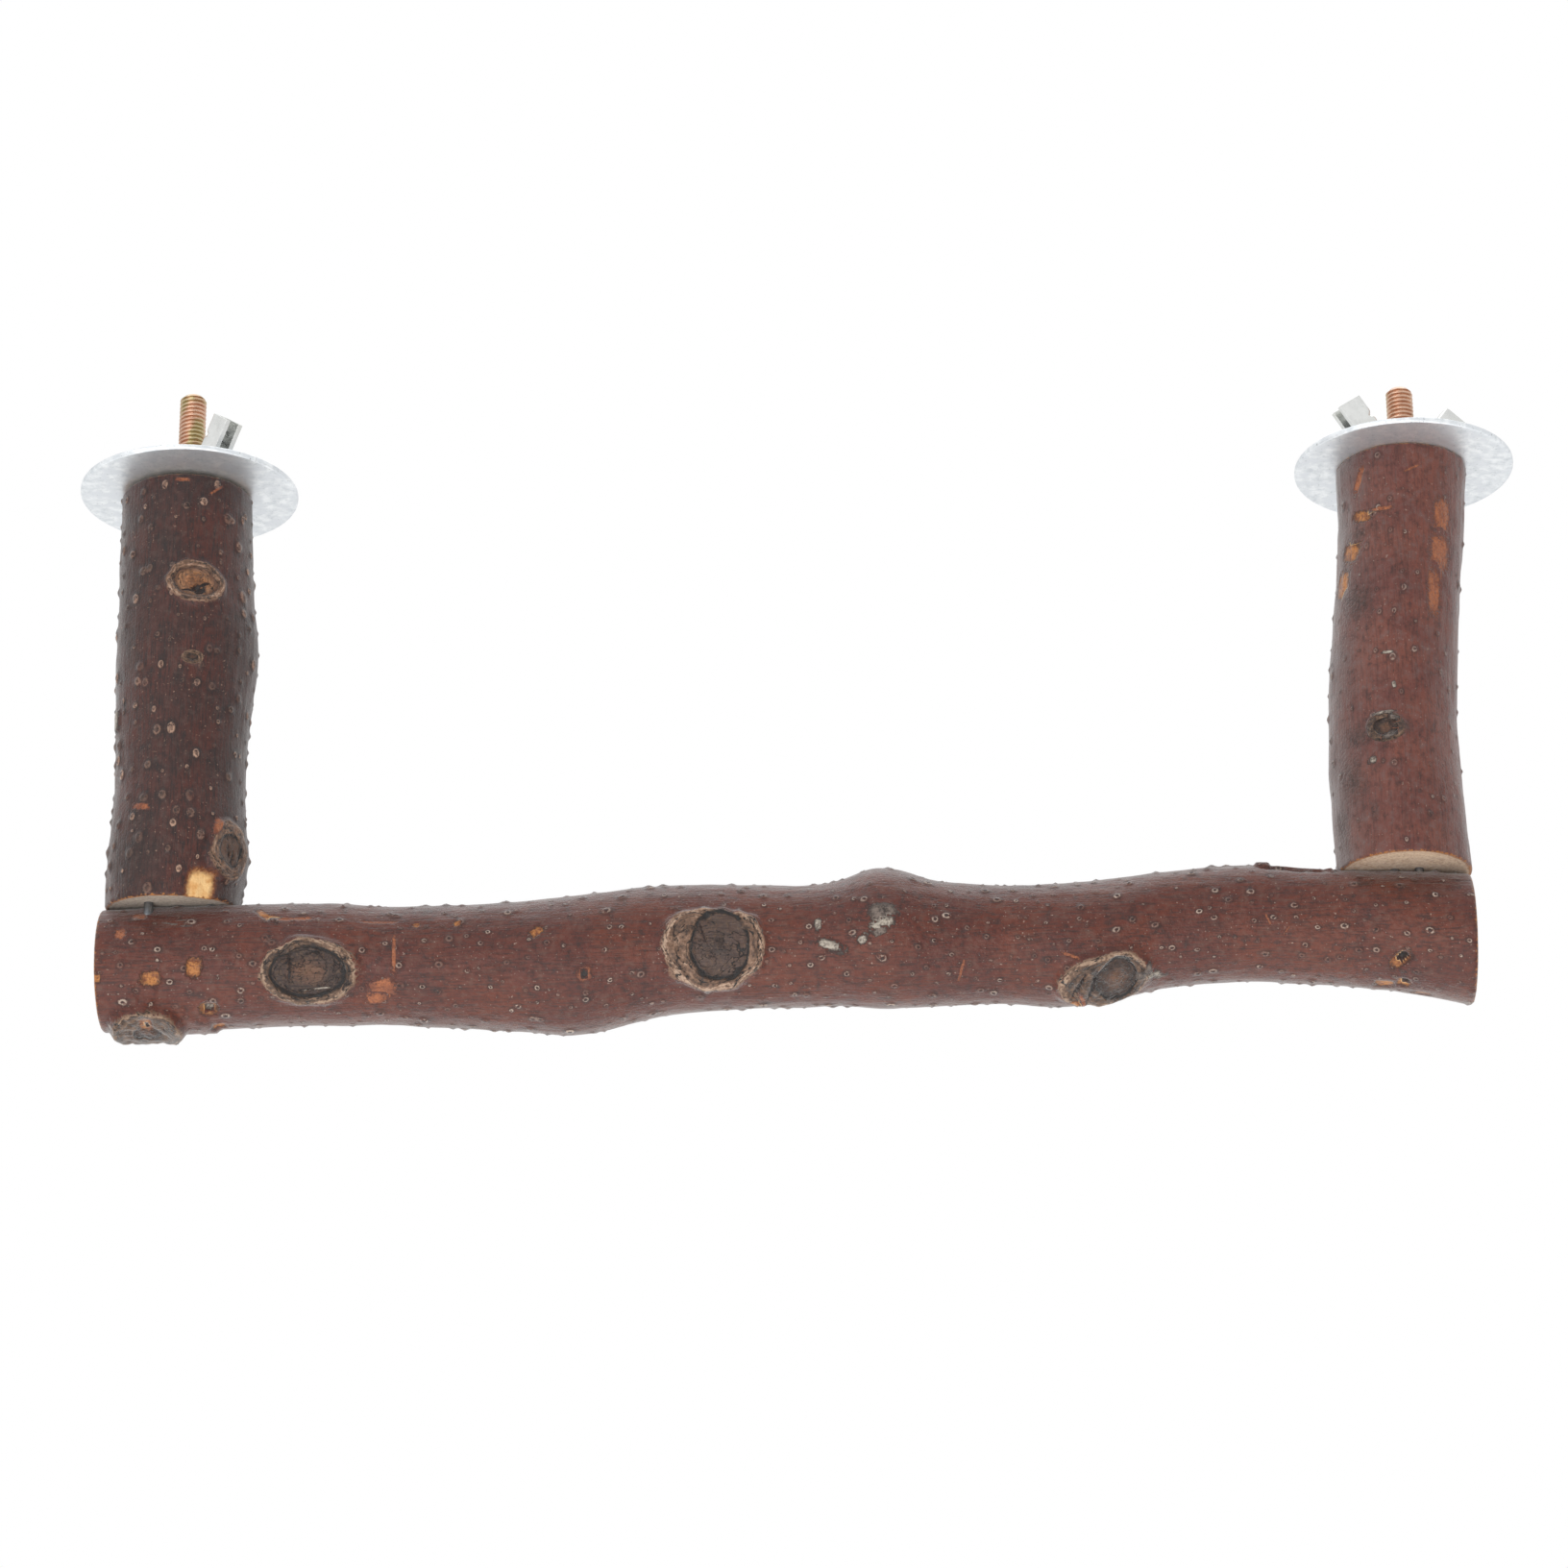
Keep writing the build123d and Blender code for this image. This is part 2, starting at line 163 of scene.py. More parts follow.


# Where each kind's step of the ramp starts, and its light, deep and edge colours; the edge colour is partly
# painted shade
MARK_SHADES = {
    Kind.BARE: (0.0, "#B5763D", "#6E3818", "#35190E"),
    Kind.WOOD: (0.2, "#F3C88C", "#DDA260", "#7A4420"),
    Kind.FLAKE: (0.4, "#B6AB9D", "#5A4D45", "#2A1E1A"),
    Kind.CORK: (0.5, "#7A6C63", "#352A25", "#33241E"),
    Kind.HOLE: (0.6, "#2E1A12", "#0E0807", "#2A160E"),
    Kind.SCRATCH: (0.8, "#A9653F", "#774029", "#5A3024"),
    Kind.STAIN: (0.9, "#4A342E", "#2C1C18", "#33211C"),
}
TORN = ((0.0, 1.0), (0.2, 0.3), (0.4, 1.0))  # how ragged the kinds are: bare wood splits clean


@dataclass(frozen=True)
class Mark:
    """A chip, flake, hole or scratch on the bark.

    Attributes:
        along: place along the branch.
        angle: degrees round it from the front, up on the bar and right on a post.
        half: half its size along and round the branch.
        kind: what it shows.
        height: how far it stands proud of the bark, negative for a hollow.
        turn: degrees that it is turned on the bark.
    """

    along: float
    angle: float
    half: tuple[float, float]
    kind: Kind
    height: float
    turn: float = 0.0


@dataclass(frozen=True)
class Knot:
    """A sawn or broken side shoot with the collar of bark that grew round it.

    Attributes:
        along: place along the branch.
        angle: degrees round it from the front.
        collar: the collar's size along and round the branch.
        face: the same of the sawn face.
        proud: the collar's height over the bark.
        hollow: the face's depth below the collar.
        tone: 0 for a weathered grey knot, 1 for a tan one.
        shift: how far the face lies along and round from the collar's middle.
        lobed: how far the collar's outline wanders, as a share of its size.
    """

    along: float
    angle: float
    collar: tuple[float, float]
    face: tuple[float, float]
    proud: float
    hollow: float
    tone: float
    shift: tuple[float, float] = (0.0, 0.0)
    lobed: float = WANDER


def smooth(low: float, high: float, value: Array) -> Array:
    """Rises from 0 at low to 1 at high along 3t squared less 2t cubed; low may be the larger."""
    t = np.clip((value - low) / (high - low), 0.0, 1.0)
    return t * t * (3.0 - 2.0 * t)


def mix(a: Any, b: Any, share: Any) -> Any:
    """The value that lies a share of the way from a to b."""
    return a + (b - a) * share


def chance(cell: Array, seed: int) -> Array:
    """Even random values from 0 to 1 for whole-number places, the same on every run.

    Args:
        cell: whole numbers, two or three in the last axis.
        seed: picks another set of values.

    Returns:
        One value per place: the coordinates times large primes, stirred by shifts and products.
    """
    primes = np.array([73856093, 19349663, 83492791], np.int64)[: cell.shape[-1]]
    stirred = (cell.astype(np.int64) @ primes + seed * 40503) & 0xFFFFFFFF
    for shift, factor in ((15, 739982445), (12, 695872825)):
        stirred = ((stirred ^ (stirred >> shift)) * factor) & 0xFFFFFFFF
    return ((stirred ^ (stirred >> 15)) & 0xFFFFFF) / float(0xFFFFFF)


def noise(points: Array, size: float, seed: int) -> Array:
    """Smooth noise in space: random values on a cubic lattice, blended between its corners.

    Args:
        points: places in millimetres.
        size: edge of a lattice cell.
        seed: picks another noise.

    Returns:
        Values from -1 to 1.
    """
    scaled = points / size
    home = np.floor(scaled)
    t = smooth(0.0, 1.0, scaled - home)
    total = np.zeros(points.shape[:-1])
    for corner in np.ndindex(2, 2, 2):
        weight = np.prod(np.where(np.array(corner) == 1, t, 1.0 - t), axis=-1)
        total += weight * chance(home + np.array(corner), seed)
    return 2.0 * total - 1.0


def grown(stations: Array, share: Array) -> Array:
    """Values of a grown form at shares of its length.

    Args:
        stations: rows of a share and the values there.
        share: where the values are wanted.

    Returns:
        Values on a cubic curve through the stations. A station's slope is that of the line from the station
        before it to the one after.
    """
    place, values = stations[:, 0], stations[:, 1:]
    before = np.maximum(np.arange(len(place)) - 1, 0)
    after = np.minimum(np.arange(len(place)) + 1, len(place) - 1)
    slope = (values[after] - values[before]) / (place[after] - place[before])[:, None]
    i = np.clip(np.searchsorted(place, share, side="right") - 1, 0, len(place) - 2)
    reach = (place[i + 1] - place[i])[..., None]
    t = (share - place[i])[..., None] / reach
    bend = reach * t * (1.0 - t) * (slope[i] * (1.0 - t) - slope[i + 1] * t)
    return mix(values[i], values[i + 1], t * t * (3.0 - 2.0 * t)) + bend


@dataclass
class Shell:
    """A closed surface on a grid: each row goes round it, and the rows follow one another along it.

    Attributes:
        points: places in millimetres, rows by columns by three.
        cap: how its ends are closed.
        fields: three numbers for each point, by attribute name.
    """

    points: Array
    cap: Cap
    fields: Fields = field(default_factory=dict)

    def with_poles(self, grid: Array) -> Array:
        """A grid's points as one list, with the means of its first and last rows at the end for poles."""
        flat = grid.reshape(-1, 3)
        if self.cap is not Cap.POLE:
            return flat
        return np.concatenate([flat, grid[0].mean(0)[None], grid[-1].mean(0)[None]])

    def faces(self, start: int) -> list[list[int]]:
        """Quads of the grid and the faces of its ends, turned to point outwards.

        Args:
            start: the number of its first point in the mesh.

        Returns:
            Corner numbers of each face. A shell whose signed volume is negative is turned round.
        """
        rows, columns = self.points.shape[:2]
        corner = np.arange(rows * columns).reshape(rows, columns)
        if self.cap is Cap.RING:
            corner = np.concatenate([corner, corner[:1]])
        beside = np.roll(corner, -1, axis=1)
        quads = np.stack([corner[:-1], beside[:-1], beside[1:], corner[1:]], -1).reshape(-1, 4)
        if self.cap is Cap.STRIP:
            near = np.arange(columns // 2 - 1)
            far = columns - 1 - near
            strip = np.stack([near, far, far - 1, near + 1], -1)
            quads = np.concatenate([quads, strip, strip[:, ::-1] + (rows - 1) * columns])
        fans = np.empty((0, 3), int)
        if self.cap is Cap.POLE:
            pole = np.full(columns, rows * columns)
            first = np.stack([pole, beside[0], corner[0]], -1)
            last = np.stack([pole + 1, corner[-1], beside[-1]], -1)
            fans = np.concatenate([first, last])
        flat = self.with_poles(self.points)
        triangles = np.concatenate([quads[:, [0, 1, 2]], quads[:, [0, 2, 3]], fans])
        a, b, c = (flat[triangles[:, k]] for k in range(3))
        if (a * np.cross(b, c)).sum() < 0:
            quads, fans = quads[:, ::-1], fans[:, ::-1]
        return (quads + start).tolist() + (fans + start).tolist()


def put(name: str, data: Any) -> bpy.types.Object:
    """A new object with the data, linked to the scene."""
    thing = bpy.data.objects.new(name, data)
    bpy.context.scene.collection.objects.link(thing)
    return thing


def make_piece(
    name: str, shells: list[Shell], finish: bpy.types.Material, crease: float = 50.0
) -> bpy.types.Object:
    """Writes shells into one mesh object at the origin.

    Args:
        name: the piece's name.
        shells: closed surfaces in millimetres.
        finish: its material.
        crease: edges that turn by more degrees than this stay sharp.

    Returns:
        The new object, linked to the scene.
    """
    places, faces, start = [], [], 0
    for shell in shells:
        places.append(shell.with_poles(shell.points))
        faces += shell.faces(start)
        start += len(places[-1])
    mesh = bpy.data.meshes.new(name)
    mesh.from_pydata((np.concatenate(places) * MM).tolist(), [], faces)
    for key in shells[0].fields:
        values = np.concatenate([shell.with_poles(shell.fields[key]) for shell in shells])
        layer = mesh.attributes.new(key, "FLOAT_VECTOR", "POINT")
        layer.data.foreach_set("vector", values.astype(np.float32).ravel())
    mesh.polygons.foreach_set("use_smooth", np.ones(len(mesh.polygons), bool))
    mesh.set_sharp_from_angle(angle=radians(crease))
    mesh.materials.append(finish)
    return put(name, mesh)


def dress(piece: bpy.types.Object, body: str, node: str) -> None:
    """Lets a piece ride on a body in place of a node, and reports it."""
    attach(piece, body)
    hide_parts(node)
    LOG.info("%s: %d faces on %s", piece.name, len(piece.data.polygons), body)


def linear(code: str) -> tuple[float, float, float, float]:
    """An sRGB hex colour such as #6A4038 as linear red, green, blue and alpha."""
    parts = [int(code[i : i + 2], 16) / 255.0 for i in (1, 3, 5)]
    light = [p / 12.92 if p <= 0.04045 else ((p + 0.055) / 1.055) ** 2.4 for p in parts]
    return (*light, 1.0)


def join(tree: Tree, node: Node, inputs: dict[int | str, Any]) -> None:
    """Sets or links the inputs of a node.

    Args:
        tree: the material's or world's nodes.
        node: the node.
        inputs: by place or name, a value, a hex colour, a socket, or a node for its first output.
    """
    sockets = [socket for socket in node.inputs if socket.enabled]
    for key, value in inputs.items():
        socket = sockets[key] if isinstance(key, int) else next(s for s in sockets if s.name == key)
        if isinstance(value, Node):
            value = next(output for output in value.outputs if output.enabled)
        if isinstance(value, bpy.types.NodeSocket):
            tree.links.new(value, socket)
        else:
            socket.default_value = linear(value) if isinstance(value, str) else value


def add(tree: Tree, kind: str, *inputs: Any, stops: Stops = (), step: str = "LINEAR", **named: Any) -> Node:
    """Adds a node with its settings and links.

    Args:
        tree: the material's or world's nodes.
        kind: the node's type, without its ShaderNode prefix.
        inputs: what its sockets take, in their order. A MapRange has a value, the two ends of the range that
            it is read in, and the two that these become.
        stops: a colour ramp's places and hex colours or grey levels.
        step: how the ramp goes from one to the next.
        named: the node's own settings, and sockets by their names, which start with a capital.

    Returns:
        The new node.
    """
    node = tree.nodes.new("ShaderNode" + kind)
    sockets: dict[int | str, Any] = dict(enumerate(inputs))
    for key, value in named.items():
        if key[0].isupper():
            sockets[key] = value
        else:
            setattr(node, key, value)
    if stops:
        ramp = node.color_ramp
        ramp.interpolation = step
        while len(ramp.elements) < len(stops):
            ramp.elements.new(1.0)
        for element, (place, shade) in zip(ramp.elements, stops):
            element.position = place
            element.color = linear(shade) if isinstance(shade, str) else (shade, shade, shade, 1.0)
    join(tree, node, sockets)
    return node


def new_material(name: str) -> tuple[bpy.types.Material, Tree, Node]:
    """An empty material with a principled shader, its nodes and that shader."""
    material = bpy.data.materials.new(name)
    material.use_nodes = True
    tree = material.node_tree
    return material, tree, tree.nodes["Principled BSDF"]


def in_millimetres(tree: Tree, *stretches: Point) -> list[Node]:
    """Places on the piece in millimetres, once for each stretch that multiplies the axes."""
    place = add(tree, "TexCoord").outputs["Object"]
    scales = [tuple(s / MM for s in stretch) for stretch in stretches]
    return [add(tree, "VectorMath", place, scale, operation="MULTIPLY") for scale in scales]


@dataclass(frozen=True)
class Grain:
    """The noises and fields that all layers of a bark's material share.

    Attributes:
        tree: the material's nodes.
        thread: the fibres along the grain, from 0 to 1.
        rough: fine noise from -0.5 to 0.5.
        fleck: coarser noise from 0 to 1.
        rims: strength of the lenticels' rims.
        kind: which kind of mark is near.
        depth: millimetres in from the sawn edge.
    """

    tree: Tree
    thread: Node
    rough: Node
    fleck: Node
    rims: bpy.types.NodeSocket
    kind: bpy.types.NodeSocket
    depth: bpy.types.NodeSocket


@dataclass(frozen=True)
class Bark:
    """Dry bark of a fruit-tree branch: smooth, finely fissured along the grain and set with lenticels.

    The skin is satin and a little dusty, so its edges pale against white surroundings. Where it is chipped
    the orange inner bark shows, and where it is sawn the pale wood.

    Attributes:
        name: the material's name.
        mid, dark, warm, grey: the skin's browns; grey also paints the sheen along its outline.
        ring: the lenticels' corky rims.
        wood, wood_dark: the sawn end grain.
        stretch: how much the grain is drawn out along each axis.
        peeled: how far over the sawn edge the bark reaches, in millimetres.
        filled: how far the cork fills the lenticels.
        pale_rim: how much paler the knots' collars are at their outer edge.
        fissured: how dark the fissures along the grain are.
        bloom_and_sheen: how dusty the skin is, which pales its edges.
        fibre_size, dust_size, grit_size: width of the fibres, the pale dust and the fine grit.
        fleck_size, cloud_size: width of the stains and of the warmer clouds.
        year_width: between two growth rings.
    """

    name: str
    mid: str
    dark: str
    warm: str
    grey: str
    ring: str
    wood: str
    wood_dark: str
    stretch: Point
    peeled: float
    filled: float = 0.0
    pale_rim: float = 0.5
    fissured: float = 0.8
    bloom_and_sheen: float = 0.6
    fibre_size: float = 0.42
    dust_size: float = 0.5
    grit_size: float = 0.65
    fleck_size: float = 1.8
    cloud_size: float = 14.0
    year_width: float = 1.9

    def material(self) -> bpy.types.Material:
        """The bark's material, from noises in millimetres and the branch's own fields.

        Returns:
            Skin, then lenticels, knots, marks and sawn faces painted over one another.
        """
        material, tree, shader = new_material(self.name)
        even, drawn = in_millimetres(tree, EVEN, self.stretch)
        noises = (
            (drawn, self.fibre_size, 4.0, 0.65),
            (even, self.grit_size, 3.0, 0.6),
            (even, self.fleck_size, 4.0, 0.65),
            (even, self.cloud_size, 3.0, 0.6),
            (even, self.dust_size, 1.0, 0.5),
        )
        fibre, grit, fleck, cloud, dust = (
            add(tree, "TexNoise", Vector=place, Scale=1 / size, Detail=detail, Roughness=harsh)
            for place, size, detail, harsh in noises
        )
        tones, sides = (
            add(tree, "SeparateXYZ", add(tree, "Attribute", attribute_name=name).outputs["Vector"]).outputs
            for name in ("tones", "weather_and_sheen")
        )
        thread = add(tree, "MapRange", fibre, 0.34, 0.56, interpolation_type="SMOOTHSTEP")
        rough = add(tree, "MapRange", grit, 0.3, 0.7, -0.5, 0.5)
        grain = Grain(tree, thread, rough, fleck, *tones)

        # The skin: fine dark fissures along the grain, warmer clouds, grey bloom, painted sheen on its sides
        warmth = add(tree, "MapRange", cloud, 0.42, 0.62)
        warmth = add(tree, "Math", warmth, sides["Y"], operation="ADD", use_clamp=True)
        fissure = add(tree, "MapRange", thread, 1.0, 0.0, 0.0, self.fissured)
        bloom_and_sheen = add(tree, "MapRange", fleck, 0.5, 0.72, 0.0, 0.5)
        # Grey bands down its sides add to it: weathered bloom, and a painted sheen along its outline
        bloom_and_sheen = add(tree, "Math", bloom_and_sheen, sides["X"], operation="ADD", use_clamp=True)
        stain = add(tree, "MapRange", fleck, 0.47, 0.32, 0.0, 0.7)
        dust = add(tree, "MapRange", dust, 0.7, 0.78, 0.0, 0.5)
        skin = self.mid
        for cover, colour in (
            (warmth, self.warm),
            (fissure, self.dark),
            (bloom_and_sheen, self.grey),
            (stain, self.dark),
            (dust, self.ring),
        ):
            skin = add(tree, "Mix", cover, skin, colour, data_type="RGBA")

        skin, rim = self.lenticels(grain, skin)
        skin, crack = self.knots(grain, skin)
        skin, chip = self.marks(grain, skin)
        skin, sawn = self.sawn_faces(grain, skin)

        relief = add(tree, "Math", thread, 0.25, operation="MULTIPLY")
        for height, share in ((rim, 0.7), (chip, -0.6), (crack, -1.8), (rough, 0.45)):
            relief = add(tree, "Math", height, share, relief, operation="MULTIPLY_ADD")
        gloss = add(tree, "MapRange", fleck, 0.3, 0.7, 0.3, 0.48)
        surface = {
            "Base Color": skin,
            "Roughness": add(tree, "Math", sawn, 0.3, gloss, operation="MULTIPLY_ADD", use_clamp=True),
            "Normal": add(tree, "Bump", Strength=0.6, Distance=0.3 * MM, Height=relief),
            "Specular IOR Level": 0.4,
            "Sheen Weight": self.bloom_and_sheen,
            "Sheen Roughness": 0.35,
        }
        join(tree, shader, surface)
        return material

    def lenticels(self, grain: Grain, skin: Node) -> tuple[Node, Node]:
        """Lenticels of 1 to 2 mm: a dark pore in a thin broken rim of cork on a bump, ringed by painted
        shadow.

        Halfway between two of them the flat coordinates jump from one to the other, and on the way pass
        through a middle; the distance, which doesn't jump, keeps a false pore from being drawn there.

        Args:
            grain: the shared noises.
            skin: the colour below.

        Returns:
            The new colour and the rims' height.
        """
        tree = grain.tree
        spot = add(tree, "Attribute", attribute_name="lenticel").outputs["Vector"]
        reach = add(tree, "SeparateXYZ", spot).outputs["Z"]
        flat = add(tree, "VectorMath", spot, (0.5, 0.5, 0.0), operation="MULTIPLY")
        radius = add(tree, "VectorMath", flat, operation="LENGTH")
        least = add(tree, "Math", reach, 0.5, -0.15, operation="MULTIPLY_ADD")
        radius = add(tree, "Math", radius, least, operation="MAXIMUM")
        radius = add(tree, "Math", grain.rough, 0.2, radius, operation="MULTIPLY_ADD")
        near = add(tree, "MapRange", reach, 2.2, 1.7)
        corky = ((0.0, self.filled), (0.22, self.filled), (0.3, 1.0), (0.4, 1.0), (0.49, 0.0))
        # The pore's dark middle, and a ring of painted shadow round the rim
        pore_and_shadow_ring = ((0.13, 0.8 * (1 - self.filled)), (0.24, 0.1), (0.42, 0.1), (0.54, 0.5), (0.95, 0.0))
        rim, pore = (add(tree, "ValToRGB", radius, stops=levels) for levels in (corky, pore_and_shadow_ring))
        broken = add(tree, "MapRange", grain.rough, -0.25, 0.0)
        for share in (near, grain.rims, broken):
            rim = add(tree, "Math", rim, share, operation="MULTIPLY")
        pore = add(tree, "Math", pore, near, operation="MULTIPLY")
        for cover, colour in ((pore, PORE_AND_SHADOW), (rim, self.ring)):
            skin = add(tree, "Mix", cover, skin, colour, data_type="RGBA")
        return skin, rim

    def knots(self, grain: Grain, skin: Node) -> tuple[Node, Node]:
        """Knots: a collar of torn cork layers, and a weathered sawn face with cracks at its edge.

        The layers are noise drawn out round the knot, and a crack lies where a second such noise passes its
        middle value, so that cracks follow the collar and break off.

        Args:
            grain: the shared noises.
            skin: the colour below.

        Returns:
            The new colour and the cracks.
        """
        tree, rough = grain.tree, grain.rough
        spot = add(tree, "Attribute", attribute_name="knot").outputs["Vector"]
        collar, face, tone = add(tree, "SeparateXYZ", spot).outputs
        layer = add(tree, "Attribute", attribute_name="knot_layer").outputs["Vector"]
        torn = add(tree, "TexNoise", Vector=layer, Scale=1.0, Detail=5.0, Roughness=0.7)
        split = add(tree, "TexNoise", Vector=layer, Scale=0.62, Detail=3.0, Roughness=0.55)

        # The collar: grey or tan cork, paler towards its outer edge
        ragged = add(tree, "Math", torn, 0.34, collar, operation="MULTIPLY_ADD")
        ragged = add(tree, "Math", rough, 0.09, ragged, operation="MULTIPLY_ADD")
        inside = add(tree, "MapRange", ragged, 1.21, 1.17)
        layers = add(tree, "Math", rough, 0.2, torn, operation="MULTIPLY_ADD")
        layers = add(tree, "MapRange", layers, 0.34, 0.76)
        pale_rim = add(tree, "MapRange", ragged, 1.07, 1.14, 0.0, self.pale_rim)
        layers = add(tree, "Math", layers, pale_rim, operation="ADD", use_clamp=True)
        grey, tan_cork = (add(tree, "ValToRGB", layers, stops=shades) for shades in (GREY_CORK, TAN_CORK))
        cork = add(tree, "Mix", tone, grey, tan_cork, data_type="RGBA")

        # The face: dark with age where it is grey, level where the collar has reached it, fresher where tan
        inner = add(tree, "Math", split, 0.3, face, operation="MULTIPLY_ADD")
        inner = add(tree, "Math", inner, 0.15, operation="SUBTRACT")
        sawn = add(tree, "MapRange", inner, 1.03, 0.97)
        wood, level, fresh = (
            add(tree, "ValToRGB", inner, stops=shades) for shades in (OLD_FACE, LEVEL_FACE, FRESH_FACE)
        )
        flush = add(tree, "MapRange", tone, 0.25, 0.45)
        newer = add(tree, "MapRange", tone, 0.5, 0.8)
        pale = add(tree, "MapRange", rough, 0.0, 0.4, 0.0, 0.4)
        fibres = add(tree, "MapRange", grain.thread, 1.0, 0.0, 0.0, 0.5)
        for cover, colour in ((flush, level), (newer, fresh), (pale, FACE_PALE), (fibres, FACE_FIBRE)):
            wood = add(tree, "Mix", cover, wood, colour, data_type="RGBA")

        # Cracks: one round the face, broken off and fainter on a tan knot, and thin ones in the layers
        lines = []
        for value, middle, wide, thin in ((inner, 1.0, 0.075, 0.03), (split, 0.5, 0.018, 0.007)):
            off = add(tree, "Math", value, middle, operation="SUBTRACT")
            off = add(tree, "Math", off, operation="ABSOLUTE")
            lines.append(add(tree, "MapRange", off, wide, thin))
        edge, gap = lines
        broken = add(tree, "MapRange", torn, 0.42, 0.5)
        faint = add(tree, "MapRange", tone, 0.85, 0.6, 0.2)
        for share in (broken, faint):
            edge = add(tree, "Math", edge, share, operation="MULTIPLY")
        gap = add(tree, "Math", gap, inside, operation="MULTIPLY")
        crack = add(tree, "Math", edge, gap, operation="MAXIMUM")
        for cover, colour in ((inside, cork), (sawn, wood), (crack, CRACK)):
            skin = add(tree, "Mix", cover, skin, colour, data_type="RGBA")
        return skin, crack

    def marks(self, grain: Grain, skin: Node) -> tuple[Node, Node]:
        """Chips, flakes and scratches with dark ragged edges, partly painted shade, each on its own flat
        coordinates.

        Args:
            grain: the shared noises.
            skin: the colour below.

        Returns:
            The new colour and where the marks lie.
        """
        tree, rough, thread, kind = grain.tree, grain.rough, grain.thread, grain.kind
        starts, *columns = zip(*MARK_SHADES.values())
        spot = add(tree, "Attribute", attribute_name="mark").outputs["Vector"]
        reach = add(tree, "SeparateXYZ", spot).outputs["Z"]
        flat = add(tree, "VectorMath", spot, (1.0, 1.0, 0.0), operation="MULTIPLY")
        flat = add(tree, "VectorMath", flat, operation="ABSOLUTE")
        sides = add(tree, "SeparateXYZ", flat).outputs
        square = add(tree, "Math", sides["X"], sides["Y"], operation="MAXIMUM")
        oval = add(tree, "VectorMath", flat, operation="LENGTH")
        edge = add(tree, "Mix", 0.5, square, oval)
        least = add(tree, "Math", reach, 0.25, operation="SUBTRACT")
        edge = add(tree, "Math", edge, least, operation="MAXIMUM")
        torn = add(tree, "ValToRGB", kind, stops=TORN, step="CONSTANT")
        grit = add(tree, "Math", rough, torn, operation="MULTIPLY")
        edge = add(tree, "Math", grit, 0.55, edge, operation="MULTIPLY_ADD")

        # Where it lies: scratches are scuffed off the high fibres, and stains fade towards their edge
        near = add(tree, "MapRange", reach, 2.4, 2.0)
        inside = add(tree, "MapRange", edge, 1.12, 0.92)
        inside = add(tree, "Math", inside, near, operation="MULTIPLY")
        scuffed = add(tree, "MapRange", rough, 0.3, -0.1, 0.25)
        scuffed = add(tree, "Math", thread, 0.4, scuffed, operation="MULTIPLY_ADD", use_clamp=True)
        faded = add(tree, "MapRange", edge, 1.25, 0.1, 0.0, 0.8)
        for first, cover in ((Kind.SCRATCH, scuffed), (Kind.STAIN, faded)):
            such = add(tree, "Math", kind, MARK_SHADES[first][0], operation="GREATER_THAN")
            share = add(tree, "Mix", such, 1.0, cover)
            inside = add(tree, "Math", inside, share, operation="MULTIPLY")

        # Its colours: light and deep by the noises, and a darker edge, partly the torn edge's colour and
        # partly painted shade
        light, deep, edge_and_shade = (
            add(tree, "ValToRGB", kind, stops=tuple(zip(starts, shades)), step="CONSTANT")
            for shades in columns
        )
        shade = add(tree, "MapRange", grain.fleck, 0.36, 0.6, -0.1, 0.8)
        shade = add(tree, "Math", thread, 0.3, shade, operation="MULTIPLY_ADD")
        shade = add(tree, "Math", grit, 1.4, shade, operation="MULTIPLY_ADD", use_clamp=True)
        margin_and_shade = add(tree, "MapRange", edge, 0.66, 0.95)
        colour = deep
        for cover, further in ((shade, light), (margin_and_shade, edge_and_shade)):
            colour = add(tree, "Mix", cover, colour, further, data_type="RGBA")
        return add(tree, "Mix", inside, skin, colour, data_type="RGBA"), inside

    def sawn_faces(self, grain: Grain, skin: Node) -> tuple[Node, Node]:
        """Sawn end grain: a thin ragged rim of orange inner bark, then pale wood with faint growth rings.

        Args:
            grain: the shared noises.
            skin: the colour below.

        Returns:
            The new colour and where it is sawn.
        """
        tree, rough, depth = grain.tree, grain.rough, grain.depth
        ragged = add(tree, "Math", rough, 0.45, depth, operation="MULTIPLY_ADD")
        sawn = add(tree, "MapRange", ragged, self.peeled, self.peeled + 0.1)
        cut = add(tree, "MapRange", depth, 0.005, 0.04)
        sawn = add(tree, "Math", sawn, cut, operation="MULTIPLY")
        years = add(tree, "Math", depth, 2 * pi / self.year_width, operation="MULTIPLY")
        years = add(tree, "Math", rough, 4.0, years, operation="MULTIPLY_ADD")
        years = add(tree, "Math", years, operation="SINE")
        years = add(tree, "Math", years, 0.12, rough, operation="MULTIPLY_ADD")
        years = add(tree, "MapRange", years, -0.45, 0.25)
        rind = add(tree, "MapRange", ragged, 0.85, 0.55)
        wood = self.wood_dark
        for cover, colour in ((years, self.wood), (rind, INNER_BARK)):
            wood = add(tree, "Mix", cover, wood, colour, data_type="RGBA")
        return add(tree, "Mix", sawn, skin, wood, data_type="RGBA"), sawn


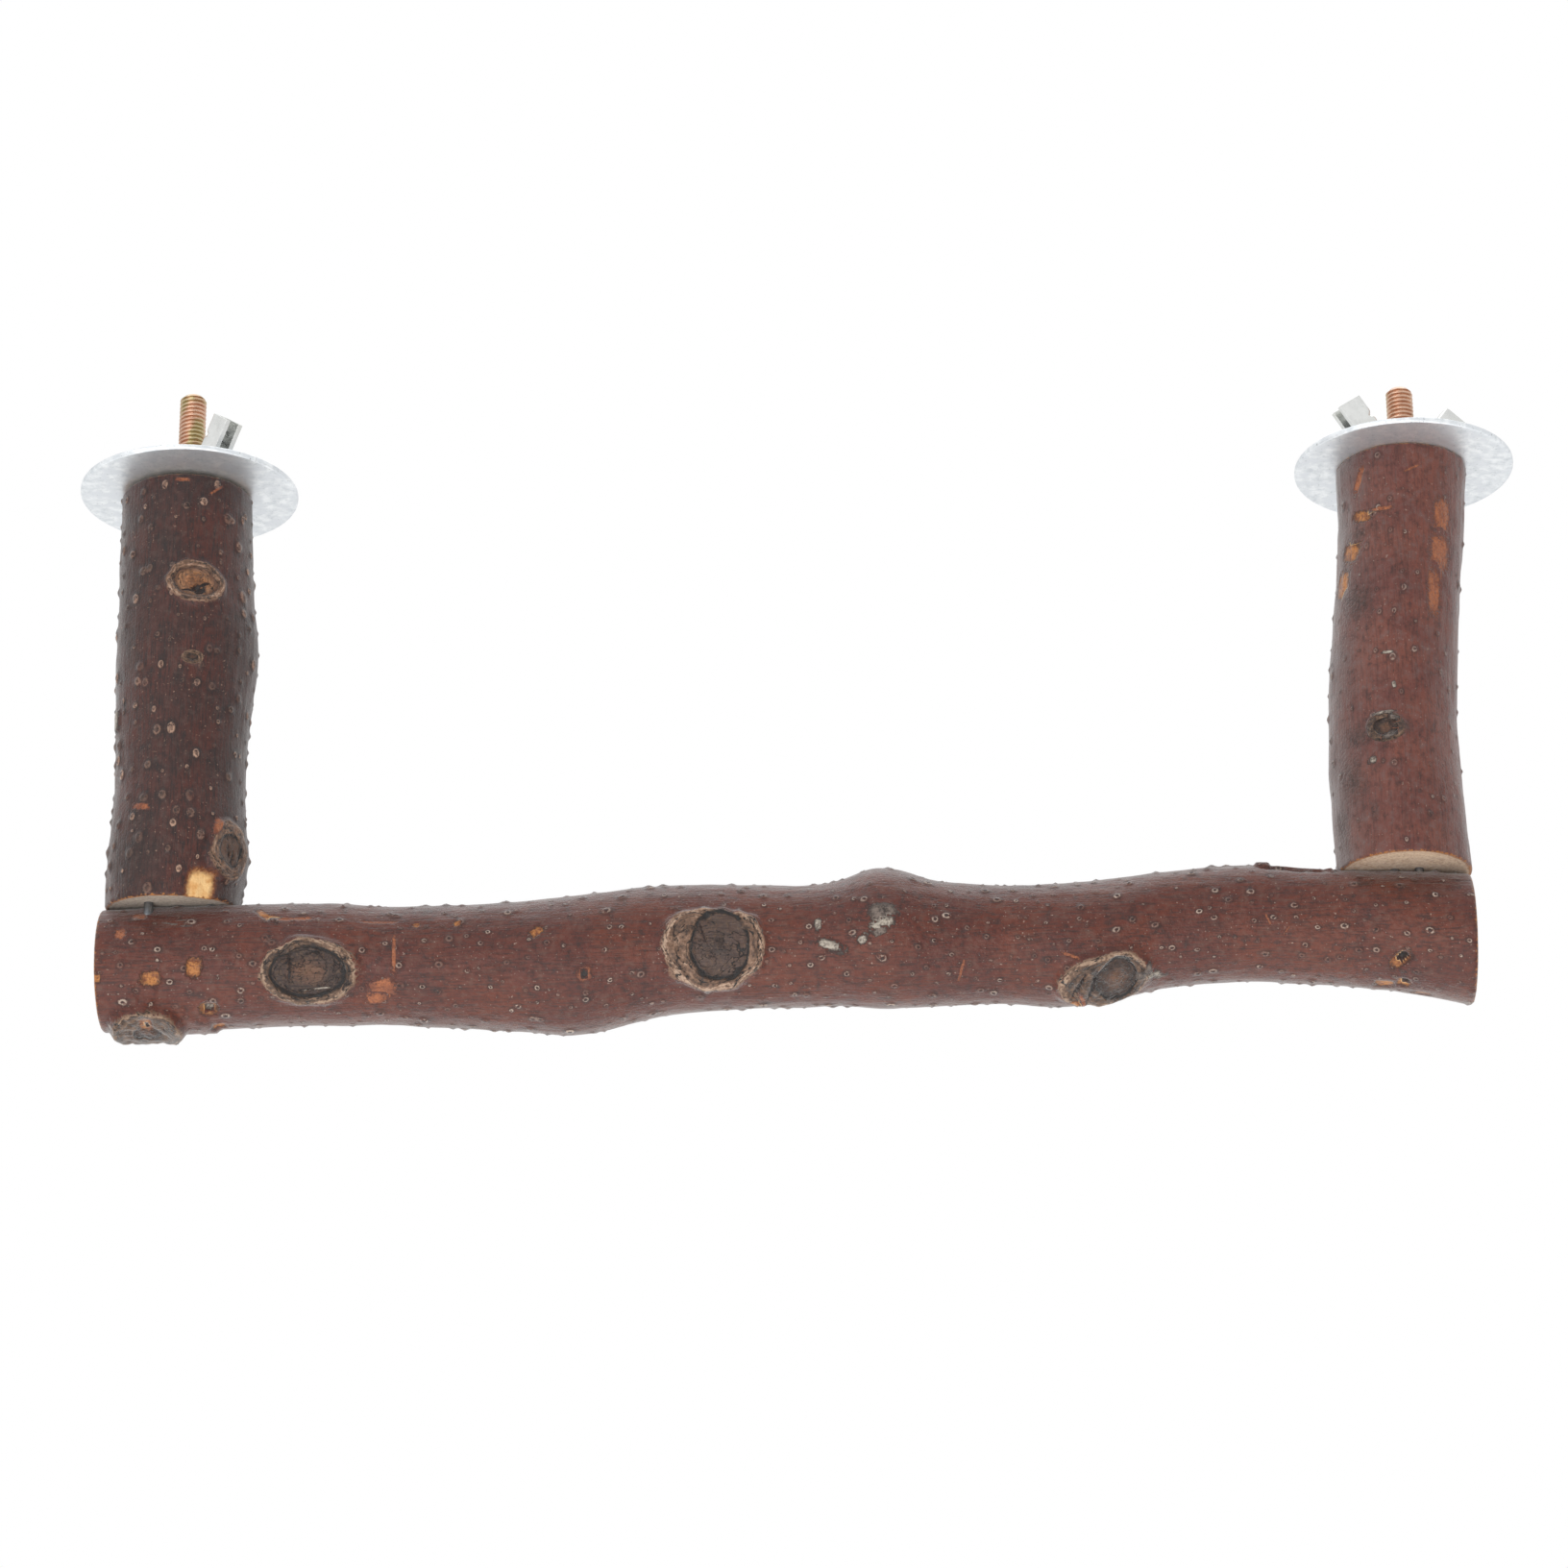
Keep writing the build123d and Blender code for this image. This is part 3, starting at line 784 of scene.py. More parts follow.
@dataclass(frozen=True)
class Plate:
    """Electroplated steel: a metal mirror dulled by fine crystals, with darker specks and stains.

    Attributes:
        name: the material's name.
        bright: the plating's colour.
        dull: its stained colour.
        third: a further tint, for chromate that shifts in hue.
        roughness: lowest and highest.
        grain: size of the stains.
        specks: strength of the dark specks.
        metallic: less than 1 where the crystals scatter a share of the light.
        speck_size: size of the specks.
    """

    name: str
    bright: str
    dull: str
    third: str
    roughness: tuple[float, float]
    grain: float
    specks: float = 0.2
    metallic: float = 1.0
    speck_size: float = 0.5

    def material(self) -> bpy.types.Material:
        """The plating's material, with stains and specks from noises in millimetres."""
        material, tree, shader = new_material(self.name)
        (place,) = in_millimetres(tree, EVEN)
        noises = ((1 / self.grain, 4.0, 0.6), (0.55 / self.grain, 2.0, 0.5), (1 / self.speck_size, 2.0, 0.5))
        stain, tint, speck = (
            add(tree, "TexNoise", Vector=place, Scale=scale, Detail=detail, Roughness=harsh)
            for scale, detail, harsh in noises
        )
        dulled = add(tree, "MapRange", stain, 0.38, 0.66)
        shift = add(tree, "MapRange", tint, 0.48, 0.62)
        dots = add(tree, "MapRange", speck, 0.66, 0.74, 0.0, self.specks)
        colour = self.bright
        for cover, further in ((dulled, self.dull), (shift, self.third), (dots, SPECK)):
            colour = add(tree, "Mix", cover, colour, further, data_type="RGBA")
        surface = {
            "Base Color": colour,
            "Roughness": add(tree, "MapRange", stain, 0.3, 0.7, *self.roughness),
            "Normal": add(tree, "Bump", Strength=0.25, Distance=0.05 * MM, Height=stain),
            "Metallic": self.metallic,
        }
        join(tree, shader, surface)
        return material


@dataclass(frozen=True)
class Seat:
    """The plane where a post's sawn foot stands on the bar, dipping towards the front.

    Attributes:
        x: the foot's place.
        z: the plane's height over the bar's axis.
        tilt: its dip in degrees.
        edge: where the flat on the bar ends, on the inner side.
        setback: how far the bar's axis lies back.
    """

    x: float
    z: float
    tilt: float
    edge: float
    setback: float = 2.5

    def height(self, y: Array) -> Array:
        """The plane's height at a distance back: it rises by the tilt's tangent."""
        return self.z + tan(radians(self.tilt)) * (y - self.setback)


@dataclass
class Stem:
    """The plain round stem under a branch's bark, as grids of rows along it by columns round it.

    Attributes:
        along: places along the branch.
        angle: angles round it in radians, from its front.
        radius: the stem's radii.
        bare: its surface.
    """

    along: Array
    angle: Array
    radius: Array
    bare: Array

    def off(self, item: Mark | Knot) -> tuple[Array, Array, Array]:
        """Distances along and round the branch from an item's middle, and the angle off it."""
        turn = (self.angle - radians(item.angle) + pi) % (2 * pi) - pi
        return self.along - item.along, self.radius * turn, turn


@dataclass(kw_only=True)
class Branch(ABC):
    """A length of bark-on branch, sawn at both ends.

    Attributes:
        name: its node.
        slot: its material slot; not used.
        bark: its finish.
        stations: how it grew, as shares of its length and values there.
        knots, marks: what its bark shows.
        rows, columns: points along and round it.
        worn: radius of its sawn edges.
        seed: picks its own noises.
        keep: share of the lattice's cells that hold a lenticel.
        pore: a lenticel's least and greatest radius.
        lattice: spacing of the lenticels' cells.
        grey_and_sheen_bands, reddened: bands along it of grey bloom with painted sheen, and of warmth: angle,
            spread in degrees, strength.
    """

    name: str
    slot: str
    bark: Bark
    stations: tuple[tuple[float, ...], ...]
    knots: tuple[Knot, ...]
    marks: tuple[Mark, ...]
    rows: int
    columns: int
    worn: float
    seed: int
    keep: float
    pore: tuple[float, float]
    lattice: float
    grey_and_sheen_bands: tuple[Point, ...] = ()
    reddened: tuple[Point, ...] = ()

    @abstractmethod
    def section(self, along: Array) -> tuple[Array, Array]:
        """Centres and radii at places along the branch."""

    @abstractmethod
    def outward(self, angle: Array) -> Array:
        """Unit vectors out of the branch at angles from its front."""

    @abstractmethod
    def layout(self, angle: Array) -> Array:
        """Places along the branch of every point on its bark."""

    @abstractmethod
    def trim(self, skin: Array) -> Array:
        """The bark after it is cut to what it stands against."""

    @abstractmethod
    def ends(self) -> tuple[Array, Array]:
        """Directions in which the first and last sawn faces look."""

    def build(self, low_z: float) -> bpy.types.Object:
        """The branch as one closed mesh.

        A point is its section's centre plus the radius and the bark's relief, outwards at its angle.

        Args:
            low_z: nothing hangs lower than this.

        Returns:
            The new object.
        """
        angle = np.linspace(-pi, pi, self.columns, endpoint=False)[None].repeat(self.rows, 0)
        along = self.layout(angle)
        centre, radius = self.section(along)
        outward = self.outward(angle)
        height, fields = self.relief(Stem(along, angle, radius, centre + radius[..., None] * outward))
        skin = self.trim(centre + (radius + height)[..., None] * outward)
        points, fields = self.close_ends(skin, fields)
        points[..., 2] = np.maximum(points[..., 2], low_z)
        return make_piece(self.name + "_branch", [Shell(points, Cap.POLE, fields)], self.bark.material())

    def relief(self, stem: Stem) -> tuple[Array, Fields]:
        """The bark's height over the plain stem, and the fields that its material reads.

        Args:
            stem: the plain stem.

        Returns:
            Heights, as lumps, fibres, lenticels, knots and marks laid over one another, and the fields.
        """
        drawn = stem.bare * np.array(self.bark.stretch)
        waves = [(stem.bare, *lump) for lump in LUMPS] + [(drawn, *FIBRES)]
        height = sum(
            tall * noise(place, size, self.seed + Draw.BARK + k)
            for k, (place, tall, size) in enumerate(waves)
        )
        spot, tone, bump = self.lenticels(stem)
        knot, layer, height = self.grow_knots(stem, height + bump)
        mark, kind, dent = self.chips(stem)
        mean, stray, size = BAND_PATCHES
        uneven = mean + stray * noise(stem.bare, size, self.seed + Draw.BAND_PATCHES)
        weather_and_sheen = np.zeros(spot.shape)
        # Grey bands are weathered bloom and a painted sheen along the outline as the camera sees it; red ones
        # warm it
        for axis, bands in enumerate((self.grey_and_sheen_bands, self.reddened)):
            for middle, spread, strength in bands:
                turn = (np.degrees(stem.angle) - middle + 180.0) % 360.0 - 180.0
                weather_and_sheen[..., axis] += strength * uneven * np.exp(-((turn / spread) ** 2))
        fields = {
            "lenticel": spot,
            "mark": mark,
            "knot": knot,
            "knot_layer": layer,
            "tones": np.stack([tone, kind, np.zeros_like(tone)], -1),
            "weather_and_sheen": np.clip(weather_and_sheen, 0.0, 1.0),
        }
        return height + dent, fields

    def lenticels(self, stem: Stem) -> tuple[Array, Array, Array]:
        """The nearest lenticel to each point, on a jittered lattice that closes round the branch.

        Args:
            stem: the plain stem.

        Returns:
            Flat coordinates in shares of the lenticel's radius with the distance, its strength, and a rounded
            bump that falls off as a bell curve of that distance.
        """
        shape = stem.along.shape
        girth = 2 * pi * stem.radius.mean()
        count = round(girth / self.lattice)
        step = np.array([self.lattice, girth / count])
        place = np.stack([stem.along, (stem.angle + pi) / (2 * pi) * girth], -1) / step
        home = np.floor(place)
        spot = np.full((*shape, 3), FAR)
        tone, lift = np.zeros(shape), np.zeros(shape)
        for shift in np.ndindex(3, 3):
            cell = home + np.array(shift) - 1
            wrapped = np.stack([cell[..., 0], cell[..., 1] % count], -1)
            along, across, wide, long, kept, strong = (
                chance(wrapped, self.seed + Draw.LENTICEL + k) for k in range(6)
            )
            middle = cell + mix(*JITTER, np.stack([along, across], -1))
            size = mix(*self.pore, wide**2)
            offset = (place - middle) * step / size[..., None]
            offset[..., 0] /= mix(1.0, LONGEST_PORE, long)
            reach = np.where(kept < self.keep, np.hypot(offset[..., 0], offset[..., 1]), FAR)
            nearer = reach < spot[..., 2]
            spot = np.where(nearer[..., None], np.concatenate([offset, reach[..., None]], -1), spot)
            tone = np.where(nearer, mix(0.1, 1.0, strong**2), tone)
            lift = np.where(nearer, PORE_LIFT[0] + PORE_LIFT[1] * size, lift)
        spot = np.clip(spot, -FAR, FAR)
        return spot, tone, lift * np.exp(-PORE_FALL * spot[..., 2] ** 2)

    def chips(self, stem: Stem) -> tuple[Array, Array, Array]:
        """Sinks or raises the bark at each mark.

        A mark's reach is the mean of a rectangle's and an ellipse's, so that its corners are rounded.

        Args:
            stem: the plain stem.

        Returns:
            The nearest mark's flat coordinates with the reach, its kind, and the heights to add.
        """
        shape = stem.along.shape
        spot = np.full((*shape, 3), FAR)
        kind, dent = np.zeros(shape), np.zeros(shape)
        share, size = CHIP_RAGGED
        ragged = 1.0 + share * noise(stem.bare, size, self.seed + Draw.CHIP)
        for mark in self.marks:
            a, b, _ = stem.off(mark)
            c, s = cos(radians(mark.turn)), sin(radians(mark.turn))
            x, y = (a * c + b * s) / mark.half[0], (b * c - a * s) / mark.half[1]
            reach = 0.5 * (np.maximum(abs(x), abs(y)) + np.hypot(x, y))
            dent += mark.height * smooth(*CHIP_EDGE, reach / ragged)
            if mark.kind is Kind.SWOLLEN:
                continue
            nearer = (reach < spot[..., 2]) | (reach < CHIP_REACH)
            spot = np.where(nearer[..., None], np.stack([x, y, reach], -1), spot)
            kind = np.where(nearer, mark.kind.value, kind)
        return np.clip(spot, -FAR, FAR), kind, dent

    def grow_knots(self, stem: Stem, height: Array) -> tuple[Array, Array, Array]:
        """Raises each knot's collar over the bark and sinks its sawn face.

        A collar's top is partly flat: it stands proud by its height plus a share of what a flat cut would
        leave at its sides. Its outline wanders with noise, and its edge falls to the bark on a smooth step.

        Args:
            stem: the plain stem.
            height: the bark's relief so far.

        Returns:
            The collar's and face's reach and the tone of the nearest knot, the place in its torn layers as a
            direction round it and a depth, and the new relief.
        """
        spot = np.full((*height.shape, 3), FAR)
        layer = np.zeros(spot.shape)
        sizes = (LOBE_SIZE, KNOT_RAGGED[1], *(size for _, size in KNOT_LUMPS))
        lobes, ragged, *lumps = (
            noise(stem.bare, size, self.seed + Draw.KNOT + k) for k, size in enumerate(sizes)
        )
        ragged = 1.0 + KNOT_RAGGED[0] * ragged
        rough = sum(tall * lump for (tall, _), lump in zip(KNOT_LUMPS, lumps))
        for number, knot in enumerate(self.knots):
            a, b, turn = stem.off(knot)
            x, y = a / (knot.collar[0] / 2), b / (knot.collar[1] / 2)
            out = np.hypot(x, y)
            collar = out / (ragged + knot.lobed * lobes)
            face_x = (a - knot.shift[0]) / (knot.face[0] / 2)
            face_y = (b - knot.shift[1]) / (knot.face[1] / 2)
            face = np.hypot(face_x, face_y) / (ragged + WANDER * lobes)
            flat = stem.radius * (1.0 / np.cos(np.clip(turn, -KNOT_WIDEST, KNOT_WIDEST)) - 1.0)
            top = knot.proud + KNOT_FLAT * flat + (1.0 + KNOT_COARSE * knot.proud) * rough
            top -= knot.hollow * smooth(*FACE_EDGE, face)
            height = mix(height, top, smooth(*COLLAR_EDGE, collar))
            nearer = (collar < spot[..., 0])[..., None]
            values = np.stack([collar, face, np.full_like(face, knot.tone)], -1)
            spot = np.where(nearer, np.clip(values, 0.0, FAR), spot)
            round_it = LAYER_TURN * np.stack([x, y], -1) / np.maximum(out, 0.05)[..., None]
            depth = LAYER_DEPTH * collar + LAYER_APART * number
            layer = np.where(nearer, np.concatenate([round_it, depth[..., None]], -1), layer)
        return spot, layer, height

    def sawn_end(self, rim: Array, look: Array, seed: int) -> tuple[Array, Array]:
        """The worn edge and the sawn face beyond the last row of bark.

        The worn edge is a quarter circle from the bark to the face, and the face shrinks its rim to the
        middle, with the saw's marks as noise.

        Args:
            rim: that row.
            look: the direction in which the face looks.
            seed: picks the saw's marks.

        Returns:
            Further rows of points, and how far in from the edge each row lies.
        """
        inwards = rim.mean(0) - rim
        inwards -= (inwards @ look)[:, None] * look
        span = np.linalg.norm(inwards, axis=1, keepdims=True)
        inwards /= span
        lift, draw_in = self.worn * np.sin(EDGE_BENDS), self.worn * (1 - np.cos(EDGE_BENDS))
        edge = rim + lift[:, None, None] * look + draw_in[:, None, None] * inwards
        face = mix(edge[-1].mean(0), edge[-1], FACE_RINGS[:, None, None])
        deep, size = SAW_MARKS
        face = face - (deep + deep * noise(face * SAW_STRETCH, size, seed))[..., None] * look
        on_edge = EDGE_DEPTH[0] * draw_in / draw_in[-1]
        on_face = EDGE_DEPTH[1] + (1 - FACE_RINGS) * span.mean()
        return np.concatenate([edge, face]), np.concatenate([on_edge, on_face])

    def close_ends(self, skin: Array, fields: Fields) -> tuple[Array, Fields]:
        """Adds the worn edges and sawn faces as further rows of the grid.

        Args:
            skin: the bark's points.
            fields: its fields.

        Returns:
            The whole grid's points and fields. On a face only the bands of weather and painted sheen and the
            depth go on.
        """
        whole = {key: [values] for key, values in fields.items()}
        points = [skin]
        for side, (row, look) in enumerate(zip((0, -1), self.ends())):
            rows, depth = self.sawn_end(skin[row], look, self.seed + Draw.SAW + side)
            order = slice(None, None, -1 if side == 0 else 1)
            place = len(points) * side
            points.insert(place, rows[order])
            for key, values in fields.items():
                further = np.repeat(values[row][None], len(rows), 0)
                if key == "tones":
                    further[..., 2] = depth[:, None]
                elif key != "weather_and_sheen":
                    further[len(EDGE_BENDS) :] = FAR
                whole[key].insert(place, further[order])
        return np.concatenate(points), {key: np.concatenate(parts) for key, parts in whole.items()}


@dataclass(kw_only=True)
class PerchBar(Branch):
    """The long branch that the bird stands on, lying along X.

    Attributes:
        seats: the flats under the left and right posts.
        axis_z: the bar's axis at the left and right feet.
        diameters: the bar's diameters there.
        ramp: how steeply the bark rises again where a flat ends.
    """

    seats: tuple[Seat, Seat]
    axis_z: tuple[float, float] = (-113.3, -110.4)
    diameters: tuple[float, float] = (27.0, 26.4)
    ramp: float = 1.2

    def section(self, along: Array) -> tuple[Array, Array]:
        """Centres and radii: even steps between the feet, plus the crook, rise and swell that grew."""
        left, right = self.seats
        share = (along - left.x) / (right.x - left.x)
        crook, rise, swell = np.moveaxis(grown(np.array(self.stations), share), -1, 0)
        centre = np.stack([along, left.setback + crook, mix(*self.axis_z, share) + rise], -1)
        return centre, (mix(*self.diameters, share) + swell) / 2

    def outward(self, angle: Array) -> Array:
        """Unit vectors at angles from the front, up positive."""
        return np.stack([np.zeros_like(angle), -np.cos(angle), np.sin(angle)], -1)

    def layout(self, angle: Array) -> Array:
        """Even steps along X between the worn ends."""
        left, right = self.seats
        span = right.x - left.x
        first = left.x + self.stations[0][0] * span + self.worn
        last = left.x + self.stations[-1][0] * span - self.worn
        return np.linspace(first, last, self.rows)[:, None].repeat(self.columns, 1)

    def trim(self, skin: Array) -> Array:
        """Pares the crown down to the seats, with a short slope where each flat ends."""
        x, y, z = np.moveaxis(skin, -1, 0)
        for seat in self.seats:
            past = (x - seat.edge) * np.sign(seat.edge - seat.x)
            z = np.minimum(z, seat.height(y) + self.ramp * np.maximum(past, 0.0))
        return np.stack([x, y, z], -1)

    def ends(self) -> tuple[Array, Array]:
        """The sawn ends look left and right."""
        return np.array([-1.0, 0.0, 0.0]), np.array([1.0, 0.0, 0.0])


@dataclass(kw_only=True)
class Post(Branch):
    """A short branch that hangs from its stud and stands on the bar.

    Attributes:
        seat: the plane of its foot.
        top_x: its stud's place.
        diameter: its mean diameter.
        clearance: between its foot and the seat.
        sunk: how far its top lies below the washer.
    """

    seat: Seat
    top_x: float
    diameter: float
    clearance: float = 0.04
    sunk: float = 0.0

    def section(self, along: Array) -> tuple[Array, Array]:
        """Centres and radii at depths below the top: a straight lean plus the bow and swell that grew."""
        share = along / -self.seat.z
        bow, back, swell = np.moveaxis(grown(np.array(self.stations), share), -1, 0)
        centre = np.stack([mix(self.top_x, self.seat.x, share) + bow, back, -along], -1)
        return centre, (self.diameter + swell) / 2

    def outward(self, angle: Array) -> Array:
        """Unit vectors at angles from the front, right positive."""
        return np.stack([np.sin(angle), -np.cos(angle), np.zeros_like(angle)], -1)

    def layout(self, angle: Array) -> Array:
        """Even steps down from the top to where the foot's plane meets the bark at each angle."""
        foot = -self.seat.height(-self.diameter / 2 * np.cos(angle)) - self.worn
        first = self.worn + self.clearance + self.sunk
        return mix(first, foot, np.linspace(0.0, 1.0, self.rows)[:, None])

    def trim(self, skin: Array) -> Array:
        """Cuts the foot to its seat, so that its rim lies just over that plane."""
        x, y, z = np.moveaxis(skin, -1, 0)
        foot = self.seat.height(y) + self.worn + self.clearance
        z = np.maximum(z, foot)
        z[-1] = foot[-1]
        return np.stack([x, y, z], -1)

    def ends(self) -> tuple[Array, Array]:
        """The top looks up and the foot down."""
        return np.array([0.0, 0.0, 1.0]), np.array([0.0, 0.0, -1.0])


def around(columns: int) -> Array:
    """Even angles round a full turn."""
    return np.linspace(0, 2 * pi, columns, endpoint=False)


def turned(radius: Array, height: Array, x: float, columns: int) -> Array:
    """A surface of revolution about an upright axis: radii and heights carried round a circle.

    Args:
        radius: of each row, or of each point of each row.
        height: of each row.
        x: the axis' place.
        columns: points round it.

    Returns:
        Rows by columns of places.
    """
    angle = around(columns)
    level = np.broadcast_to(height, (len(height), columns))
    return np.stack([x + radius * np.cos(angle), radius * np.sin(angle), level], -1)


def rounded(corners: list[Point], steps: int = 5) -> tuple[Array, Array]:
    """A closed outline with rounded corners.

    Args:
        corners: places in two coordinates and the length cut from each side for the rounding.
        steps: points in each corner.

    Returns:
        Both coordinates, as columns, of points on a quadratic curve from one cut to the other, with the
        corner as its middle control point.
    """
    place, cut = np.split(np.array(corners), [2], axis=1)
    before, after = (np.roll(place, step, axis=0) - place for step in (1, -1))
    start, end = (place + cut * way / np.linalg.norm(way, axis=1, keepdims=True) for way in (before, after))
    t = np.linspace(0, 1, steps)[None, :, None]
    curve = (1 - t) ** 2 * start[:, None] + 2 * t * (1 - t) * place[:, None] + t**2 * end[:, None]
    return curve[..., 0].reshape(-1, 1), curve[..., 1].reshape(-1, 1)


@dataclass
class Hardware:
    """A piece of the clamp on one post.

    Attributes:
        side: left or right.
        finish: its plating.
    """

    side: str
    finish: bpy.types.Material

    def box(self, node: str) -> tuple[Array, Array]:
        """Lowest and highest corners of this side's node, in millimetres."""
        low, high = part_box(f"{self.side}_{node}")
        return np.array(low) / MM, np.array(high) / MM


@dataclass
class HangerBolt(Hardware):
    """A stud with a rolled machine thread above the wood and a coarse wood screw in it.

    Attributes:
        radius, pitch, depth: the machine thread's.
        flattened: how much wider than a plain wave its crests are.
        chamfer: the tip's.
        screw_radius, screw_pitch: the wood screw's.
        screw_core: its core's share of the radius.
        screw_point: length of its taper.
        screw_tip: share of the radius that is left at the very point.
        columns, screw_rows, thread_rows: points round it, rows on the screw and rows to a pitch of thread.
    """

    radius: float = 3.0
    pitch: float = 1.0
    depth: float = 0.58
    flattened: float = 1.35
    chamfer: float = 0.9
    screw_radius: float = 2.6
    screw_pitch: float = 2.6
    screw_core: float = 0.72
    screw_point: float = 5.0
    screw_tip: float = 0.08
    columns: int = 40
    screw_rows: int = 150
    thread_rows: int = 11

    def build(self) -> bpy.types.Object:
        """The bolt as one surface of radius over height and angle.

        The machine thread's radius falls below the crest by its depth times a rounded wave of the height
        in pitches less the angle in turns. The tip is cut by a cone, and the wood screw tapers to its point.

        Returns:
            The new object.
        """
        low, high = self.box("hanger_bolt")
        x, top, point = (low[0] + high[0]) / 2, high[2], low[2]
        screw_z = np.linspace(point, -0.1, self.screw_rows)
        level = np.concatenate([screw_z, np.arange(0.0, top, self.pitch / self.thread_rows), [top]])[:, None]
        wave, turn = (
            0.5 + 0.5 * np.cos(2 * pi * level / pitch - around(self.columns))
            for pitch in (self.pitch, self.screw_pitch)
        )
        stud = self.radius - self.depth * (1 - np.minimum(self.flattened * wave, 1.0))
        stud = np.minimum(stud, self.radius - self.chamfer + (top - level))
        taper = np.clip((level - point) / self.screw_point, self.screw_tip, 1.0)
        screw = self.screw_radius * taper * mix(self.screw_core, 1.0, turn**3)
        points = turned(np.where(level < 0, screw, stud), level, x, self.columns)
        return make_piece(self.side + "_stud", [Shell(points, Cap.POLE)], self.finish, crease=60.0)


@dataclass
class Washer(Hardware):
    """A large plain washer, punched from zinc-plated sheet with one edge rolled over by the punch.

    Attributes:
        bore: radius of its hole.
        broken: cut of the hole's edges.
        rolled, burr: cuts of the lower and upper outer edges.
        flats: where points are added across its flats, as shares of its width.
        spread: how far those points spread to each side.
        columns: points round it.
    """

    bore: float = 3.3
    broken: float = 0.2
    rolled: float = 0.55
    burr: float = 0.3
    flats: tuple[float, float] = (0.35, 0.7)
    spread: float = 0.1
    columns: int = 128

    def build(self) -> bpy.types.Object:
        """The washer as a rounded rectangle carried round the stud, with points added across its flats."""
        low, high = self.box("washer")
        x, outer = (low[0] + high[0]) / 2, (high[1] - low[1]) / 2
        lower, upper = (
            [(mix(self.bore, outer, share), z, self.spread) for share in self.flats]
            for z in (low[2], high[2])
        )
        corners = [
            (self.bore, low[2], self.broken),
            *lower,
            (outer, low[2], self.rolled),
            (outer, high[2], self.burr),
            *reversed(upper),
            (self.bore, high[2], self.broken),
        ]
        points = turned(*rounded(corners), x, self.columns)
        return make_piece(self.side + "_washer_disc", [Shell(points, Cap.RING)], self.finish)


